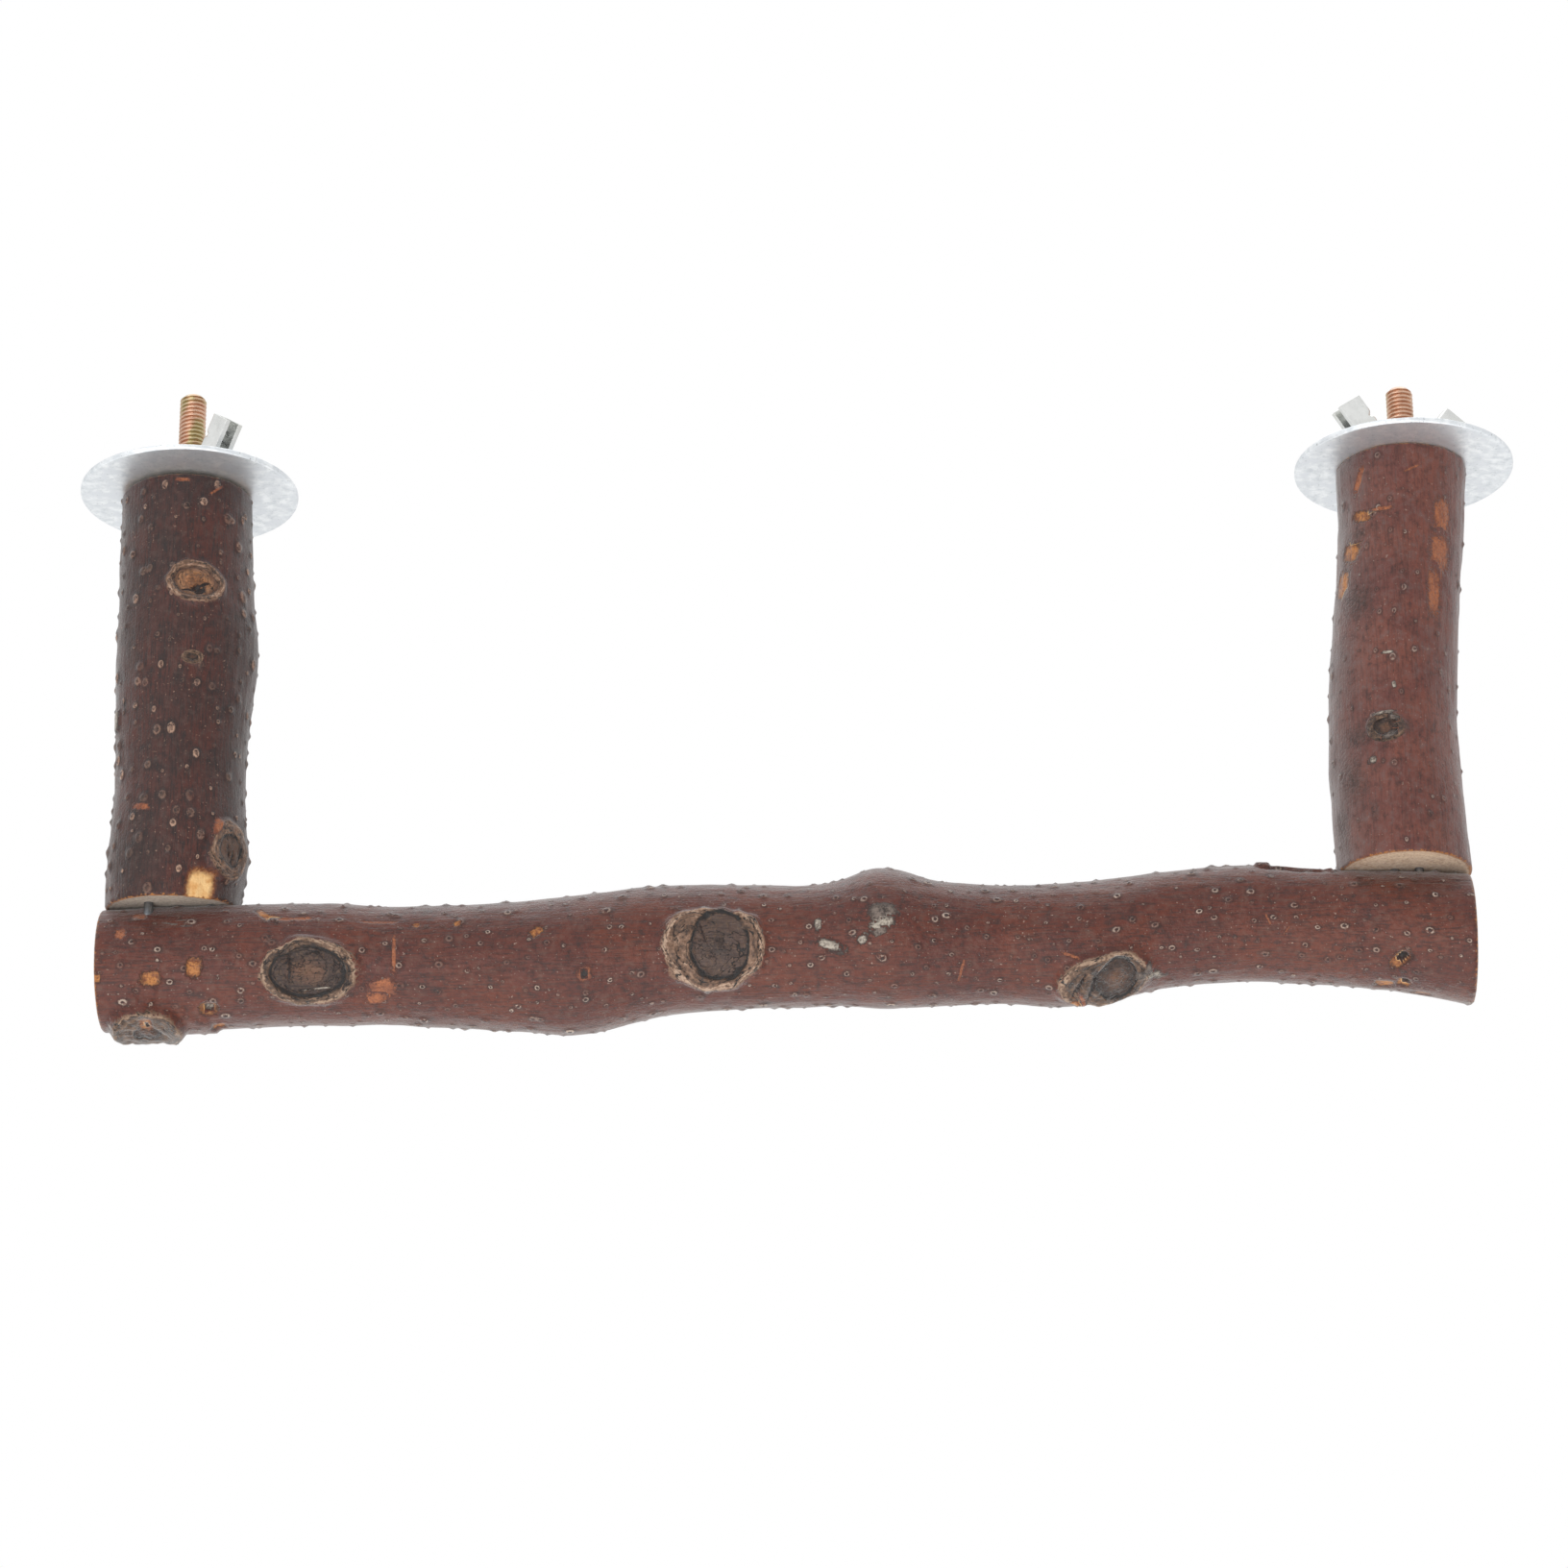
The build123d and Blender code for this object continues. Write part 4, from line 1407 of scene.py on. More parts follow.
@dataclass
class WingNut(Hardware):
    """A stamped wing nut: a drafted hub on a flange, and two wings folded from sheet into open channels.

    Attributes:
        turn: degrees about the stud.
        bore, hub, flange: radii of the hole, the hub's foot and the flange.
        draft: how much narrower the hub is at its top.
        hub_height, flange_height, height: of the hub, the flange and the whole nut.
        lean: degrees of the wings off the stud's axis.
        reach: from the axis to a wing's inner top corner.
        let_in: how far from the bore a wing ends in the hub's wall.
        rooted: how high in the flange a wing ends, as a share of its height.
        web_edge: depths between which a wing's side gives way to its web.
        depth, width, sheet, fold: a wing's channel, its sheet's thickness and its outer bends' radius.
        rib, rib_at: height and half width of the rib across the web, and its place down the wing.
        dimple, dimple_at: depth and radius of the dimple in each side, and its place down and in.
        bevel: width of the broken edges.
        crease: edges that turn by more degrees than this are broken.
        columns, rows: points round the hub and down a wing.
        side_steps, bend_steps, web_steps: points along a side, a bend and the web of a wing's outline.
    """

    turn: float
    bore: float = 3.05
    hub: float = 5.35
    flange: float = 7.25
    draft: float = 0.6
    hub_height: float = 7.0
    flange_height: float = 1.2
    height: float = 15.6
    lean: float = 36.0
    reach: float = 10.6
    let_in: float = 1.0
    rooted: float = 0.6
    web_edge: tuple[float, float] = (1.6, 0.9)
    depth: float = 6.5
    width: float = 4.5
    sheet: float = 1.1
    fold: float = 0.95
    rib: tuple[float, float] = (0.55, 0.55)
    rib_at: float = 5.0
    dimple: tuple[float, float] = (0.4, 0.7)
    dimple_at: tuple[float, float] = (2.6, 3.4)
    bevel: float = 0.2
    crease: float = 40.0
    columns: int = 72
    rows: int = 40
    side_steps: int = 14
    bend_steps: int = 7
    web_steps: int = 9

    def build(self) -> bpy.types.Object:
        """The hub and both wings as one mesh on the washer, with their edges broken by a small bevel."""
        foot = self.box("wing_nut")[0][2]
        low, high = self.box("washer")
        outline = [
            (self.bore, 0.0, 0.35),
            (self.flange, 0.0, 0.25),
            (self.flange, self.flange_height, 0.3),
            (self.hub, self.flange_height, 0.4),
            (self.hub - self.draft, self.hub_height, 0.5),
            (self.bore, self.hub_height, 0.45),
        ]
        shells = [Shell(turned(*rounded(outline), 0.0, self.columns), Cap.RING)]
        shells += [Shell(self.spun(self.wing(), half_turn), Cap.STRIP) for half_turn in (0.0, 180.0)]
        for shell in shells:
            shell.points = self.spun(shell.points, self.turn) + np.array([(low[0] + high[0]) / 2, 0.0, foot])
        piece = make_piece(self.side + "_nut_pressing", shells, self.finish, self.crease)
        bevel = piece.modifiers.new("broken edges", "BEVEL")
        bevel.width = self.bevel * MM
        bevel.segments = 2
        bevel.limit_method = "ANGLE"
        bevel.angle_limit = radians(self.crease)
        return piece

    def spun(self, points: Array, degrees: float) -> Array:
        """Points turned about the upright axis through the origin."""
        c, s = cos(radians(degrees)), sin(radians(degrees))
        return points @ np.array([[c, s, 0.0], [-s, c, 0.0], [0.0, 0.0, 1.0]])

    def channel(self) -> tuple[Array, Array]:
        """The middle line of a wing's folded sheet, seen along the wing.

        It runs from one lip along a side, round a quarter circle to the web, and back in mirror image.

        Returns:
            Points as a depth from the web's outside and a place across it, and unit vectors outwards.
        """
        half, middle = self.width / 2, self.sheet / 2
        arc = self.fold - middle
        bend = np.linspace(0, pi / 2, self.bend_steps)[1:-1]
        straight = mix(self.depth, self.fold, np.linspace(0, 1, self.side_steps))
        near = np.stack([straight, np.full_like(straight, middle - half)], -1)
        corner = np.stack([self.fold - arc * np.sin(bend), -half + self.fold - arc * np.cos(bend)], -1)
        across = mix(-half + self.fold, half - self.fold, np.linspace(0, 1, self.web_steps))
        web = np.stack([np.full_like(across, middle), across], -1)
        mirror = np.array([1.0, -1.0])
        path = np.concatenate([near, corner, web, (corner * mirror)[::-1], (near * mirror)[::-1]])
        ahead = np.gradient(path, axis=0)
        ahead /= np.linalg.norm(ahead, axis=1, keepdims=True)
        normal = np.stack([-ahead[:, 1], ahead[:, 0]], -1)
        normal *= np.sign((normal * (path - np.array([self.depth / 2, 0.0]))).sum(1))[:, None]
        return path, normal

    def wing(self) -> Array:
        """One wing on the +X side: the folded sheet's outline carried down the wing's lean to the hub.

        A rounded rib is pressed across the web, and a round dimple into each side, both as bell curves.

        Returns:
            Rows by columns of places, the first half of a row outside and the second inside.
        """
        path, normal = self.channel()
        deep, across = path.T
        c, s = cos(radians(self.lean)), sin(radians(self.lean))
        stop_hub = (self.reach + deep * c - np.sqrt((self.bore + self.let_in) ** 2 - across**2)) / s
        stop_flange = (self.height - deep * s - self.rooted * self.flange_height) / c
        down = np.linspace(0, 1, self.rows)[:, None] * np.minimum(stop_hub, stop_flange)
        on_web = smooth(*self.web_edge, deep)
        rib = self.rib[0] * np.exp(-(((down - self.rib_at) / self.rib[1]) ** 2)) * on_web
        away_down = (down - self.dimple_at[0]) / self.dimple[1]
        away_in = (deep - self.dimple_at[1]) / self.dimple[1]
        dimple = self.dimple[0] * np.exp(-(away_down**2) - away_in**2) * (1 - on_web)
        pressed = path - normal * (rib + dimple)[..., None]
        outside, inside = pressed + normal * (self.sheet / 2), pressed - normal * (self.sheet / 2)
        flat = np.concatenate([outside, inside[:, ::-1]], 1)
        down = np.concatenate([down, down[:, ::-1]], 1)
        x = self.reach + flat[..., 0] * c - down * s
        z = self.height - flat[..., 0] * s - down * c
        return np.stack([x, flat[..., 1], z], -1)


@dataclass(frozen=True)
class Lamp:
    """A square soft lamp.

    Attributes:
        name: its name.
        place: where it stands.
        size: its edge.
        power: its output in watts.
    """

    name: str
    place: Point
    size: float
    power: float

    def hang(self, target: Point) -> None:
        """Puts the lamp in the scene, facing a point."""
        data = bpy.data.lights.new(self.name, "AREA")
        data.shape = "SQUARE"
        data.size = self.size * MM
        data.energy = self.power
        lamp = put(self.name, data)
        start = Vector(self.place) * MM
        lamp.location = start
        lamp.rotation_euler = (Vector(target) * MM - start).to_track_quat("-Z", "Y").to_euler()


@dataclass
class Studio:
    """A light tent: white all round, soft lamps, a pale floor far below and the photograph's camera.

    Attributes:
        ambient: light on matt surfaces from the tent.
        lamps: the soft lamps.
        floor_z, floor_size, floor_points: the floor's height, its edge and the points along that.
        floor_glow: how much of the floor's own white the camera sees.
        azimuth, elevation, roll: the camera's direction in degrees, looking up.
        distance, target: how far it stands from a point near the middle of the perch.
        lens, film: focal length and film width.
        sight: how far the camera sees.
    """

    ambient: float = 0.6
    lamps: tuple[Lamp, ...] = (
        Lamp("front softbox", (-900.0, -1400.0, 500.0), 1300.0, 4.0),
        Lamp("low front softbox", (-300.0, -1300.0, -900.0), 1200.0, 11.0),
        Lamp("floor softbox", (0.0, 0.0, -1250.0), 1600.0, 6.0),
        Lamp("top softbox", (0.0, 300.0, 1500.0), 1500.0, 6.0),
    )
    floor_z: float = -1300.0
    floor_size: float = 9000.0
    floor_points: int = 9
    floor_glow: float = 0.55
    azimuth: float = -1.617
    elevation: float = 23.292
    roll: float = -0.509
    distance: float = 1163.2
    target: Point = (-3.04, 0.0, -73.45)
    lens: float = 121.32
    film: float = 36.0
    sight: float = 30000.0

    def tent(self) -> None:
        """White of strength 1 to the eye and in reflections, and an even light on matt surfaces."""
        world = bpy.data.worlds.new("light tent")
        bpy.context.scene.world = world
        world.use_nodes = True
        tree = world.node_tree
        ray = add(tree, "LightPath").outputs
        seen = ray["Is Camera Ray"]
        for further in ("Is Glossy Ray", "Is Transmission Ray"):
            seen = add(tree, "Math", seen, ray[further], operation="MAXIMUM")
        strength = add(tree, "Mix", seen, self.ambient, 1.0)
        join(tree, tree.nodes["Background"], {"Color": "#FFFFFF", "Strength": strength})

    def floor(self) -> None:
        """A pale matt floor, one flat grid far below, marked as stage."""
        steps = np.linspace(-0.5, 0.5, self.floor_points) * self.floor_size
        x, y = np.meshgrid(steps, steps)
        points = np.stack([x, y, np.full_like(x, self.floor_z)], -1)
        corner = np.arange(x.size).reshape(x.shape)
        quads = np.stack([corner[:-1, :-1], corner[:-1, 1:], corner[1:, 1:], corner[1:, :-1]], -1)
        material, tree, shader = new_material("white paper floor")
        join(tree, shader, {"Base Color": "#F4F4F2", "Roughness": 0.9})
        ray = add(tree, "LightPath").outputs
        glow = add(tree, "Emission", Color="#FFFFFF", Strength=1.0)
        share = add(tree, "Math", ray["Is Camera Ray"], self.floor_glow, operation="MULTIPLY")
        share = add(tree, "Math", share, ray["Is Glossy Ray"], operation="MAXIMUM")
        blend = add(tree, "MixShader", share, shader, glow)
        join(tree, tree.nodes["Material Output"], {"Surface": blend})
        mesh = bpy.data.meshes.new("floor")
        mesh.from_pydata((points.reshape(-1, 3) * MM).tolist(), [], quads.reshape(-1, 4).tolist())
        mesh.materials.append(material)
        put("floor", mesh)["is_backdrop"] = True

    def camera(self) -> None:
        """The photograph's camera: it looks up along its azimuth and elevation, rolled a little."""
        az, el, roll = (radians(a) for a in (self.azimuth, self.elevation, self.roll))
        ahead = Vector((sin(az) * cos(el), cos(az) * cos(el), sin(el)))
        level = Vector((cos(az), -sin(az), 0.0))
        upright = level.cross(ahead)
        right = cos(roll) * level + sin(roll) * upright
        up = cos(roll) * upright - sin(roll) * level
        data = bpy.data.cameras.new("photo camera")
        data.sensor_width = self.film
        data.lens = self.lens
        data.clip_end = self.sight * MM
        camera = put("photo camera", data)
        turn = Matrix((right, up, -ahead)).transposed().to_4x4()
        place = (Vector(self.target) - self.distance * ahead) * MM
        camera.matrix_world = Matrix.Translation(place) @ turn
        bpy.context.scene.camera = camera

    def build(self) -> None:
        """Sets up the plain colour view, tent, lamps, floor and camera."""
        bpy.context.scene.view_settings.view_transform = "Standard"
        self.tent()
        for lamp in self.lamps:
            lamp.hang(self.target)
        self.floor()
        self.camera()


# How the branches grew: shares of the length, then millimetres of bend in two directions and of added width
BAR_GROWTH = (
    (-0.0565, 0.0, -0.4, -0.3),
    (0.0, 0.0, 0.0, 0.0),
    (0.126, 0.0, -0.2, -0.5),
    (0.182, 0.4, -0.8, -1.0),
    (0.283, 1.0, -1.7, 1.8),
    (0.327, 1.0, -1.8, 3.5),
    (0.409, 0.0, 0.9, 1.5),
    (0.498, -0.6, 0.7, -0.2),
    (0.534, -0.8, 0.8, 0.3),
    (0.578, -0.8, 1.8, 3.9),
    (0.623, -0.6, 0.3, 0.5),
    (0.669, 0.0, 0.0, -0.7),
    (0.736, 0.5, -0.4, 0.3),
    (0.803, 1.0, 2.5, -1.3),
    (0.870, 1.2, 3.6, -1.1),
    (0.944, 0.6, 1.8, -1.0),
    (1.0, 0.0, 0.0, 0.0),
    (1.0513, 0.0, -2.2, 2.4),
)
LEFT_POST_GROWTH = (
    (0.00, -0.5, 0.0, -0.1),
    (0.25, 0.2, 0.3, 0.7),
    (0.38, 0.9, 0.4, 2.0),
    (0.55, 0.6, 0.2, 0.3),
    (0.72, 0.5, 0.0, -0.7),
    (0.88, 0.7, 0.0, 1.3),
    (0.96, 0.0, 0.0, 0.5),
    (1.05, -0.8, 0.0, -1.5),
)
RIGHT_POST_GROWTH = (
    (0.00, -0.7, 0.0, 0.8),
    (0.15, -0.6, 0.2, -0.3),
    (0.36, -1.7, 0.5, -0.5),
    (0.51, -2.5, 0.6, -0.2),
    (0.72, -2.3, 0.4, 0.1),
    (0.87, -1.3, 0.1, 0.7),
    (1.00, 0.1, 0.0, 0.9),
    (1.07, 0.8, 0.0, 0.8),
)
BAR_KNOTS = (
    Knot(-106.0, -28.0, (20.6, 14.0), (16.4, 10.4), 0.7, 0.7, 0.15),
    Knot(-18.8, -22.0, (22.3, 16.4), (13.0, 14.6), 0.8, 0.7, 0.5, (2.1, 0.6), -0.16),
    Knot(66.0, -62.0, (20.0, 13.5), (9.0, 10.6), 1.0, 0.8, 0.2, (2.4, 0.2)),
    Knot(-141.8, -86.0, (15.0, 13.5), (6.0, 5.0), 2.3, 0.7, 0.05),
)
BAR_MARKS = (
    Mark(-141.3, -42.0, (2.6, 2.6), Kind.SWOLLEN, 0.5),
    Mark(-139.8, -30.0, (2.4, 1.7), Kind.BARE, -0.4),
    Mark(-130.5, -21.0, (1.8, 2.4), Kind.BARE, -0.4, -15.0),
    Mark(-127.8, -63.0, (2.0, 1.9), Kind.BARE, -0.4),
    Mark(-127.8, -63.0, (1.0, 0.9), Kind.FLAKE, -1.2),
    Mark(-126.5, -92.0, (1.6, 1.2), Kind.BARE, -0.5),
    Mark(-132.0, -98.0, (5.0, 7.0), Kind.SWOLLEN, 0.9),
    Mark(-141.6, -74.0, (1.6, 2.8), Kind.BARE, -0.5),
    Mark(-141.4, -75.0, (0.5, 0.8), Kind.HOLE, -0.4),
    Mark(-136.0, 25.0, (1.6, 0.22), Kind.CORK, 0.05, -15.0),
    Mark(-133.4, 29.0, (1.8, 0.2), Kind.CORK, 0.05, 10.0),
    Mark(-132.5, 21.0, (1.2, 0.22), Kind.CORK, 0.05),
    Mark(-116.2, 36.0, (0.9, 2.4), Kind.BARE, -0.1, 35.0),
    Mark(-114.4, 30.0, (1.6, 0.8), Kind.BARE, -0.1, 15.0),
    Mark(-109.0, 29.0, (4.6, 0.6), Kind.SCRATCH, -0.1, 4.0),
    Mark(-91.0, 26.0, (4.0, 0.4), Kind.SCRATCH, -0.1),
    Mark(-82.6, 22.0, (0.8, 0.7), Kind.BARE, -0.1),
    Mark(-73.7, 22.0, (0.9, 0.8), Kind.BARE, -0.1),
    Mark(-146.6, 15.0, (1.2, 1.4), Kind.SCRATCH, -0.1),
    Mark(-143.0, 37.0, (1.6, 1.2), Kind.SCRATCH, -0.1),
    Mark(-151.2, -27.0, (0.6, 1.0), Kind.BARE, -0.1),
    Mark(-87.3, -8.0, (0.45, 4.6), Kind.SCRATCH, -0.05),
    Mark(-90.0, -44.0, (3.0, 2.4), Kind.SCRATCH, -0.1, 20.0),
    Mark(-91.5, -55.0, (2.4, 1.4), Kind.SCRATCH, -0.1, 10.0),
    Mark(-56.4, 11.0, (1.6, 1.1), Kind.BARE, -0.3, 40.0),
    Mark(-46.1, -29.0, (1.6, 1.5), Kind.SCRATCH, 0.2),
    Mark(-46.1, -29.0, (0.7, 0.6), Kind.HOLE, -0.2),
    Mark(4.3, -2.0, (0.8, 1.4), Kind.FLAKE, 0.2),
    Mark(8.6, -26.0, (2.2, 1.3), Kind.CORK, 0.2, -20.0),
    Mark(6.8, -22.0, (2.8, 1.0), Kind.FLAKE, 0.25, -22.0),
    Mark(18.3, 1.0, (3.2, 2.1), Kind.CORK, 0.3),
    Mark(18.2, -10.0, (3.0, 1.2), Kind.FLAKE, 0.4, 25.0),
    Mark(17.6, -16.0, (1.6, 0.8), Kind.CORK, 0.2, 20.0),
    Mark(13.8, -21.0, (1.1, 1.0), Kind.FLAKE, 0.2, 30.0),
    Mark(59.3, -83.0, (1.4, 1.6), Kind.BARE, 0.2),
    Mark(58.6, -31.0, (2.2, 0.35), Kind.SCRATCH, -0.1, -20.0),
    Mark(73.8, -61.0, (1.6, 0.9), Kind.CORK, 0.3, 25.0),
    Mark(76.6, -66.0, (1.5, 0.8), Kind.FLAKE, 0.3, -10.0),
    Mark(75.4, -55.0, (0.6, 1.3), Kind.CORK, 0.3),
    Mark(78.2, -72.0, (1.3, 0.5), Kind.CORK, 0.2, 20.0),
    Mark(61.0, -77.0, (0.5, 2.2), Kind.SCRATCH, 0.2, 15.0),
    Mark(61.8, -59.0, (0.9, 3.8), Kind.SWOLLEN, 0.5, -20.0),
    Mark(63.2, -61.0, (0.4, 4.0), Kind.HOLE, -0.5, -14.0),
    Mark(60.2, -60.0, (0.35, 2.8), Kind.HOLE, -0.4, -28.0),
    Mark(129.4, -49.0, (3.0, 1.5), Kind.BARE, -0.5, 50.0),
    Mark(129.9, -46.5, (1.2, 0.7), Kind.HOLE, -1.0, 50.0),
    Mark(130.4, -78.0, (1.6, 1.5), Kind.BARE, -0.4),
    Mark(130.8, -76.0, (0.8, 0.7), Kind.HOLE, -0.6),
    Mark(126.4, -86.0, (2.2, 1.4), Kind.BARE, -0.4, 10.0),
    Mark(134.7, -98.0, (1.9, 1.2), Kind.BARE, -0.4),
    Mark(35.0, -46.0, (0.35, 2.8), Kind.SCRATCH, -0.05, -15.0),
    Mark(101.2, -17.0, (0.25, 1.4), Kind.SCRATCH, -0.05, 25.0),
    Mark(105.2, -27.0, (0.22, 1.6), Kind.SCRATCH, -0.05, -35.0),
    Mark(108.5, 55.0, (7.0, 1.7), Kind.STAIN, -0.9),
    Mark(101.0, 60.0, (1.8, 1.2), Kind.SWOLLEN, 0.8),
    Mark(115.5, 58.0, (1.6, 1.2), Kind.SWOLLEN, 0.6),
    Mark(145.5, 6.0, (0.3, 4.2), Kind.BARE, -0.05),
    Mark(145.5, -44.0, (0.3, 3.6), Kind.BARE, -0.05),
    Mark(-109.8, -24.0, (0.3, 3.4), Kind.HOLE, -0.2, -3.0),
    Mark(-104.0, -44.0, (3.4, 0.25), Kind.FLAKE, 0.05, 4.0),
    Mark(-20.4, -9.3, (0.22, 2.0), Kind.HOLE, -0.3, 18.0),
)
LEFT_POST_KNOTS = (
    Knot(28.0, 15.0, (10.2, 12.6), (7.4, 9.8), 0.6, 1.0, 0.8),
    Knot(90.5, 55.0, (13.0, 11.0), (7.5, 6.5), 1.0, 0.6, 0.55),
    Knot(46.4, 13.0, (3.4, 5.0), (1.6, 2.6), 0.15, 0.1, 0.25),
)
LEFT_POST_MARKS = (
    Mark(99.8, 34.0, (3.9, 3.6), Kind.WOOD, -0.8),
    Mark(2.6, 4.0, (0.5, 1.7), Kind.SCRATCH, -0.2),
    Mark(4.3, 34.0, (0.3, 2.4), Kind.SCRATCH, -0.1, 40.0),
    Mark(57.9, -65.0, (2.6, 1.4), Kind.FLAKE, 0.6),
    Mark(81.5, -26.0, (0.8, 2.2), Kind.SCRATCH, 0.1, -15.0),
    Mark(86.0, 40.0, (2.4, 0.9), Kind.SCRATCH, 0.2, -20.0),
    Mark(29.6, 18.0, (1.1, 1.3), Kind.HOLE, -0.6, 10.0),
    Mark(28.2, 23.5, (1.2, 0.3), Kind.HOLE, -0.35, -62.0),
    Mark(29.8, 9.0, (0.26, 1.7), Kind.HOLE, -0.3, 8.0),
    Mark(27.4, 11.0, (1.3, 1.7), Kind.SWOLLEN, 0.4, 20.0),
    Mark(26.6, 20.0, (0.9, 1.5), Kind.SWOLLEN, 0.35, -15.0),
    Mark(29.6, 25.0, (0.8, 1.1), Kind.SWOLLEN, 0.3),
    Mark(89.6, 52.0, (3.4, 0.2), Kind.HOLE, -0.35, 16.0),
    Mark(91.6, 58.0, (3.0, 0.2), Kind.HOLE, -0.35, 6.0),
)
RIGHT_POST_KNOTS = (Knot(68.6, -11.0, (7.0, 8.0), (4.0, 5.0), 0.4, 0.5, 0.1),)
RIGHT_POST_MARKS = (
    Mark(16.8, 36.0, (4.4, 2.4), Kind.SCRATCH, -0.1),
    Mark(25.8, 36.0, (4.8, 2.8), Kind.SCRATCH, -0.1, 4.0),
    Mark(35.4, 32.0, (6.0, 1.7), Kind.SCRATCH, -0.1, 4.0),
    Mark(15.9, -43.0, (1.4, 2.8), Kind.BARE, -0.2, -15.0),
    Mark(15.4, -22.0, (0.5, 2.6), Kind.SCRATCH, -0.1),
    Mark(23.8, -54.0, (2.2, 3.2), Kind.BARE, -0.2, -20.0),
    Mark(30.4, -66.0, (3.4, 2.8), Kind.BARE, -0.2, -15.0),
    Mark(20.2, -44.0, (1.5, 2.4), Kind.STAIN, 0.0),
    Mark(6.7, -46.0, (3.4, 0.9), Kind.SCRATCH, -0.1, -25.0),
    Mark(6.1, 6.0, (0.3, 2.4), Kind.SCRATCH, -0.1, 25.0),
    Mark(36.5, -42.0, (4.0, 4.6), Kind.STAIN, 0.0),
    Mark(69.5, -36.0, (2.8, 5.0), Kind.STAIN, 0.0, 10.0),
    Mark(79.5, -46.0, (6.0, 3.6), Kind.STAIN, 0.0, 15.0),
    Mark(88.0, -27.0, (2.6, 1.1), Kind.STAIN, 0.0),
    Mark(90.0, -66.0, (5.0, 3.0), Kind.STAIN, 0.0),
    Mark(68.5, 4.0, (1.8, 2.2), Kind.STAIN, 0.0),
    Mark(65.2, -12.0, (0.4, 2.4), Kind.FLAKE, 0.15, 8.0),
    Mark(66.6, -4.0, (0.6, 1.0), Kind.CORK, 0.15, -20.0),
    Mark(70.6, -8.0, (0.8, 1.6), Kind.CORK, 0.15, 30.0),
    Mark(50.6, -9.0, (0.4, 1.3), Kind.FLAKE, 0.1),
    Mark(76.0, -24.0, (0.8, 0.9), Kind.FLAKE, 0.15),
    Mark(58.5, -3.0, (0.9, 0.5), Kind.FLAKE, 0.1, 10.0),
)
ALONG_X = (0.08, 1.0, 1.0)  # stretch of the grain on a branch that lies along X
ALONG_Z = (1.0, 1.0, 0.08)  # and on an upright one
BAR_BARK = Bark(
    name="red brown bark, dried on the branch",
    mid="#582418",
    dark="#28120C",
    warm="#652C19",
    grey="#6C5248",
    ring="#C2AE9E",
    wood="#E2CDB4",
    wood_dark="#BFA388",
    stretch=ALONG_X,
    peeled=0.07,
    fissured=0.66,
)
LEFT_BARK = Bark(
    name="purple brown bark, dried on the branch",
    mid="#351A15",
    dark="#190D0B",
    warm="#4C2118",
    grey="#564640",
    ring="#BC9781",
    wood="#C6B6A4",
    wood_dark="#9C8874",
    stretch=ALONG_Z,
    peeled=0.1,
    filled=0.45,
    pale_rim=0.2,
    bloom_and_sheen=0.3,
)
RIGHT_BARK = Bark(
    name="red brown bark, rubbed bare in places",
    mid="#64332B",
    dark="#351B16",
    warm="#743F32",
    grey="#6E5D5A",
    ring="#B09C8E",
    wood="#E6CBAE",
    wood_dark="#C19A77",
    stretch=ALONG_Z,
    peeled=0.06,
    filled=0.2,
    pale_rim=0.0,
    fissured=0.5,
    bloom_and_sheen=0.4,
)
WASHER_ZINC = Plate("zinc plated sheet, satin", "#F1F4F6", "#D3D8DC", "#DFE3E7", (0.34, 0.46), 2.2, 0.7, 0.75)
NUT_ZINC = Plate("bright zinc on pressed steel", "#E2E3E1", "#D3D4D2", "#DADBD7", (0.2, 0.3), 4.0, 0.1, 0.85)
CHROMATE = Plate("yellow chromate on zinc plated steel", "#D2AF98", "#BC927A", "#B9AA85", (0.24, 0.36), 2.4)
NAIL_STEEL = Plate("drawn steel wire", "#9A9FA5", "#74797F", "#878C92", (0.3, 0.45), 1.2)
STUD_X = 137.0
LEFT_SEAT = Seat(-137.0, -100.3, 8.0, -120.8)
RIGHT_SEAT = Seat(132.0, -97.7, 2.0, 116.3)
NUT_TURNS = {"left": -45.0, "right": 20.0}


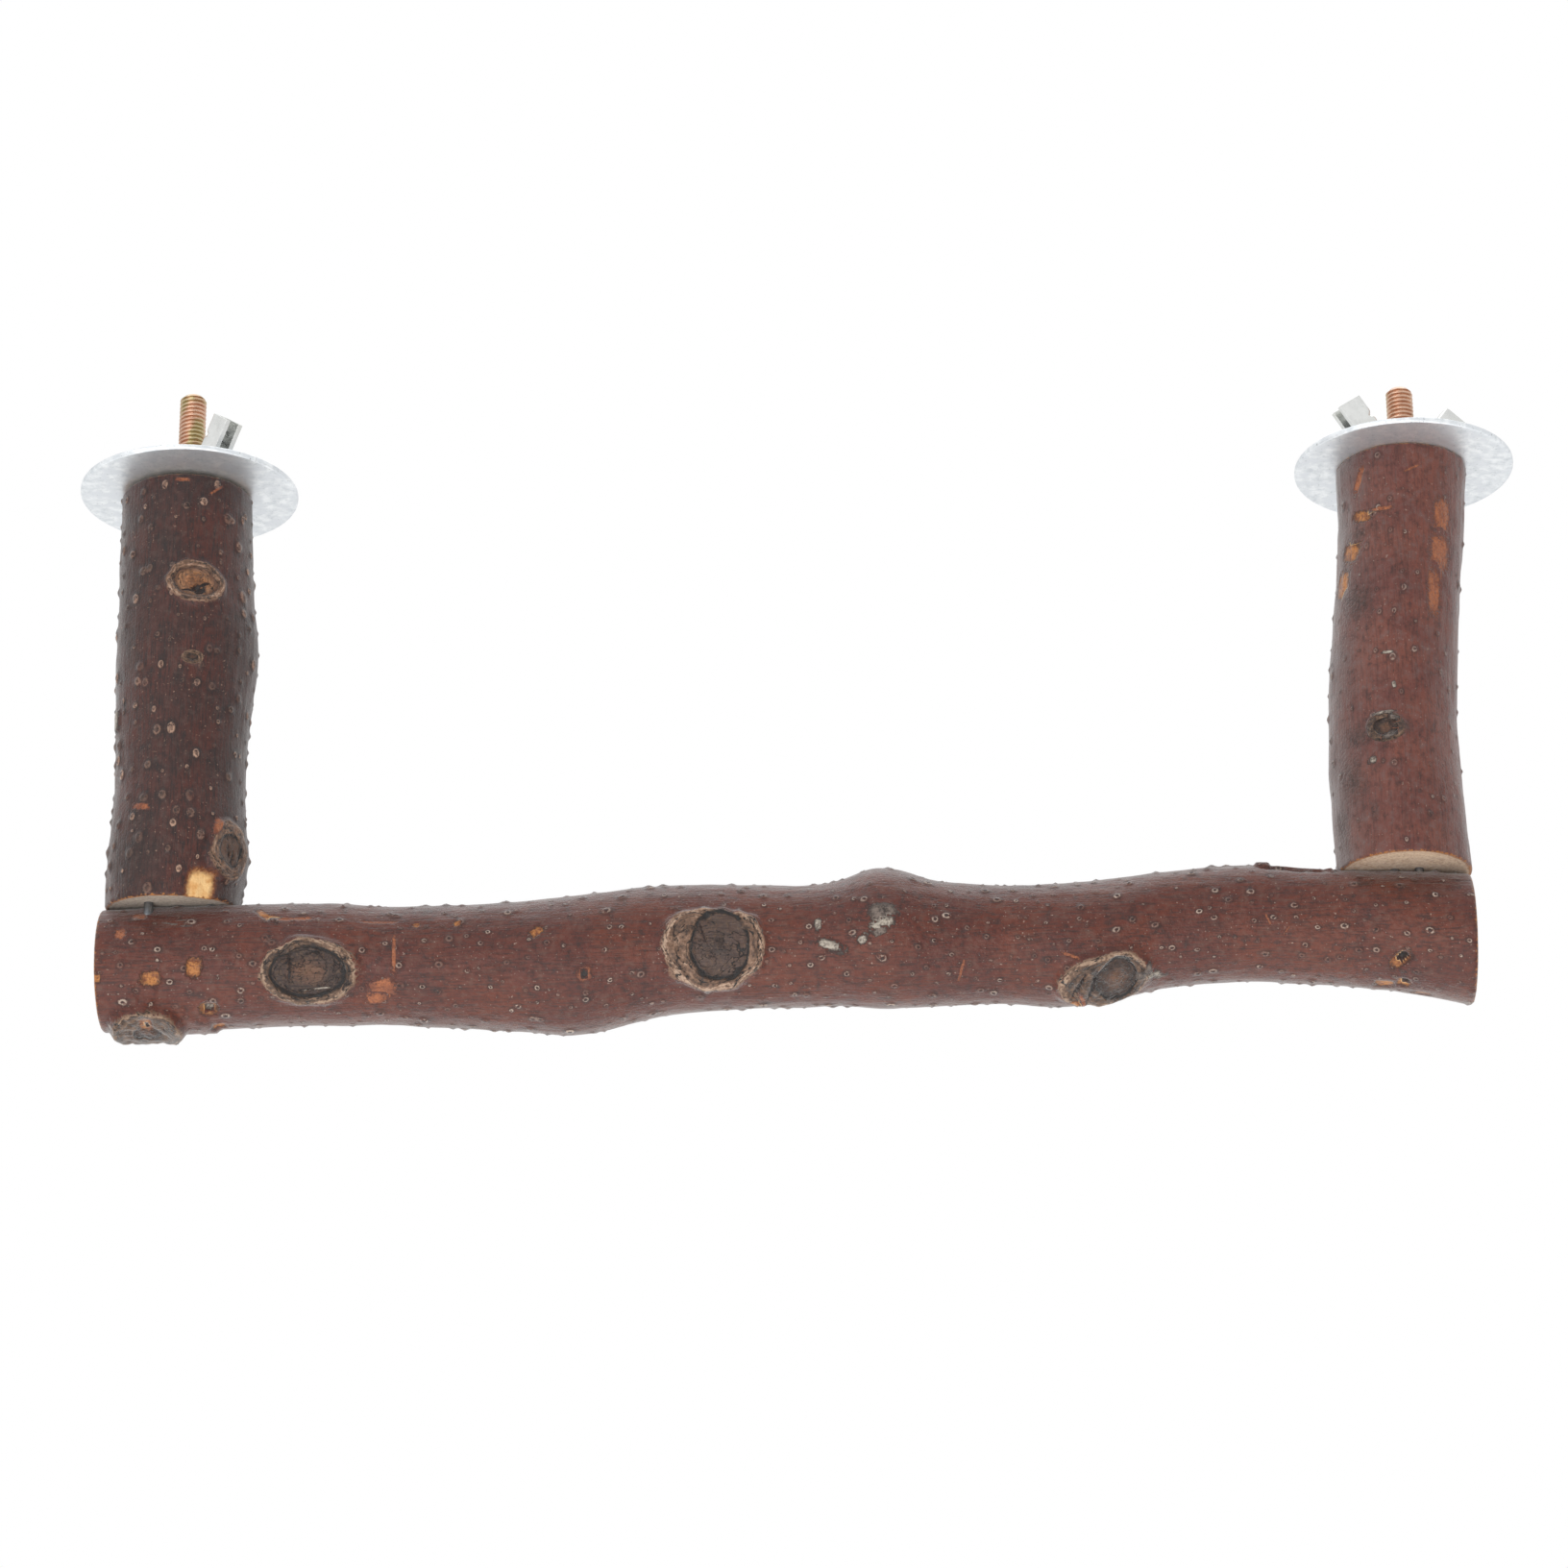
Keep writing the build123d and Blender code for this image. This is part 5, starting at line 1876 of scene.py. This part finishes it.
def branches() -> tuple[Branch, ...]:
    """The bar and both posts, with their own growth, bark and marks."""
    bar = PerchBar(
        name="perch_bar",
        slot="bar_bark",
        bark=BAR_BARK,
        stations=BAR_GROWTH,
        knots=BAR_KNOTS,
        marks=BAR_MARKS,
        rows=640,
        columns=150,
        worn=0.8,
        seed=100,
        keep=0.85,
        pore=(0.32, 0.8),
        lattice=4.4,
        # Pale bands at the bottom and top of its outline: painted sheen, and some grey bloom
        grey_and_sheen_bands=((-108.0, 20.0, 0.8), (75.0, 16.0, 0.5)),
        seats=(LEFT_SEAT, RIGHT_SEAT),
    )
    left = Post(
        name="left_post",
        slot="left_post_bark",
        bark=LEFT_BARK,
        stations=LEFT_POST_GROWTH,
        knots=LEFT_POST_KNOTS,
        marks=LEFT_POST_MARKS,
        rows=250,
        columns=180,
        worn=0.6,
        seed=200,
        keep=0.85,
        pore=(0.4, 1.2),
        lattice=5.0,
        # Grey bands at both edges of its outline: grey bloom and painted sheen
        grey_and_sheen_bands=((-80.0, 25.0, 0.6), (85.0, 20.0, 0.5)),
        reddened=((28.0, 28.0, 0.8),),
        seat=LEFT_SEAT,
        top_x=-STUD_X,
        diameter=29.4,
        sunk=1.0,
    )
    right = Post(
        name="right_post",
        slot="right_post_bark",
        bark=RIGHT_BARK,
        stations=RIGHT_POST_GROWTH,
        knots=RIGHT_POST_KNOTS,
        marks=RIGHT_POST_MARKS,
        rows=250,
        columns=180,
        worn=0.5,
        seed=300,
        keep=0.36,
        pore=(0.3, 0.75),
        lattice=4.6,
        # A grey band at its left edge: grey bloom and painted sheen
        grey_and_sheen_bands=((-75.0, 32.0, 0.9),),
        reddened=((30.0, 30.0, 0.4),),
        seat=RIGHT_SEAT,
        top_x=STUD_X,
        diameter=28.4,
    )
    return bar, left, right


def main() -> None:
    """Loads the frame, builds each piece on its body, sets up the studio, and takes the frame's box for the
    lowest point.
    """
    logging.basicConfig(level=logging.INFO, format="%(name)s: %(message)s")
    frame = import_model()
    cad_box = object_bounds()
    low_z = cad_box[0][2] / MM
    for branch in branches():
        dress(branch.build(low_z), "perch_frame", branch.name)
    zinc, nut_zinc, chromate = WASHER_ZINC.material(), NUT_ZINC.material(), CHROMATE.material()
    for side, turn in NUT_TURNS.items():
        dress(HangerBolt(side, chromate).build(), "perch_frame", side + "_hanger_bolt")
        dress(Washer(side, zinc).build(), side + "_washer", side + "_washer")
        dress(WingNut(side, nut_zinc, turn).build(), side + "_wing_nut", side + "_wing_nut")
    steel = NAIL_STEEL.material()
    for name, node in frame["nodes"].items():
        if name.endswith("_nail"):
            node.data.materials.clear()
            node.data.materials.append(steel)
            LOG.info("%s: kept as it is, in drawn steel", name)
    Studio().build()


if __name__ == "__main__":
    main()
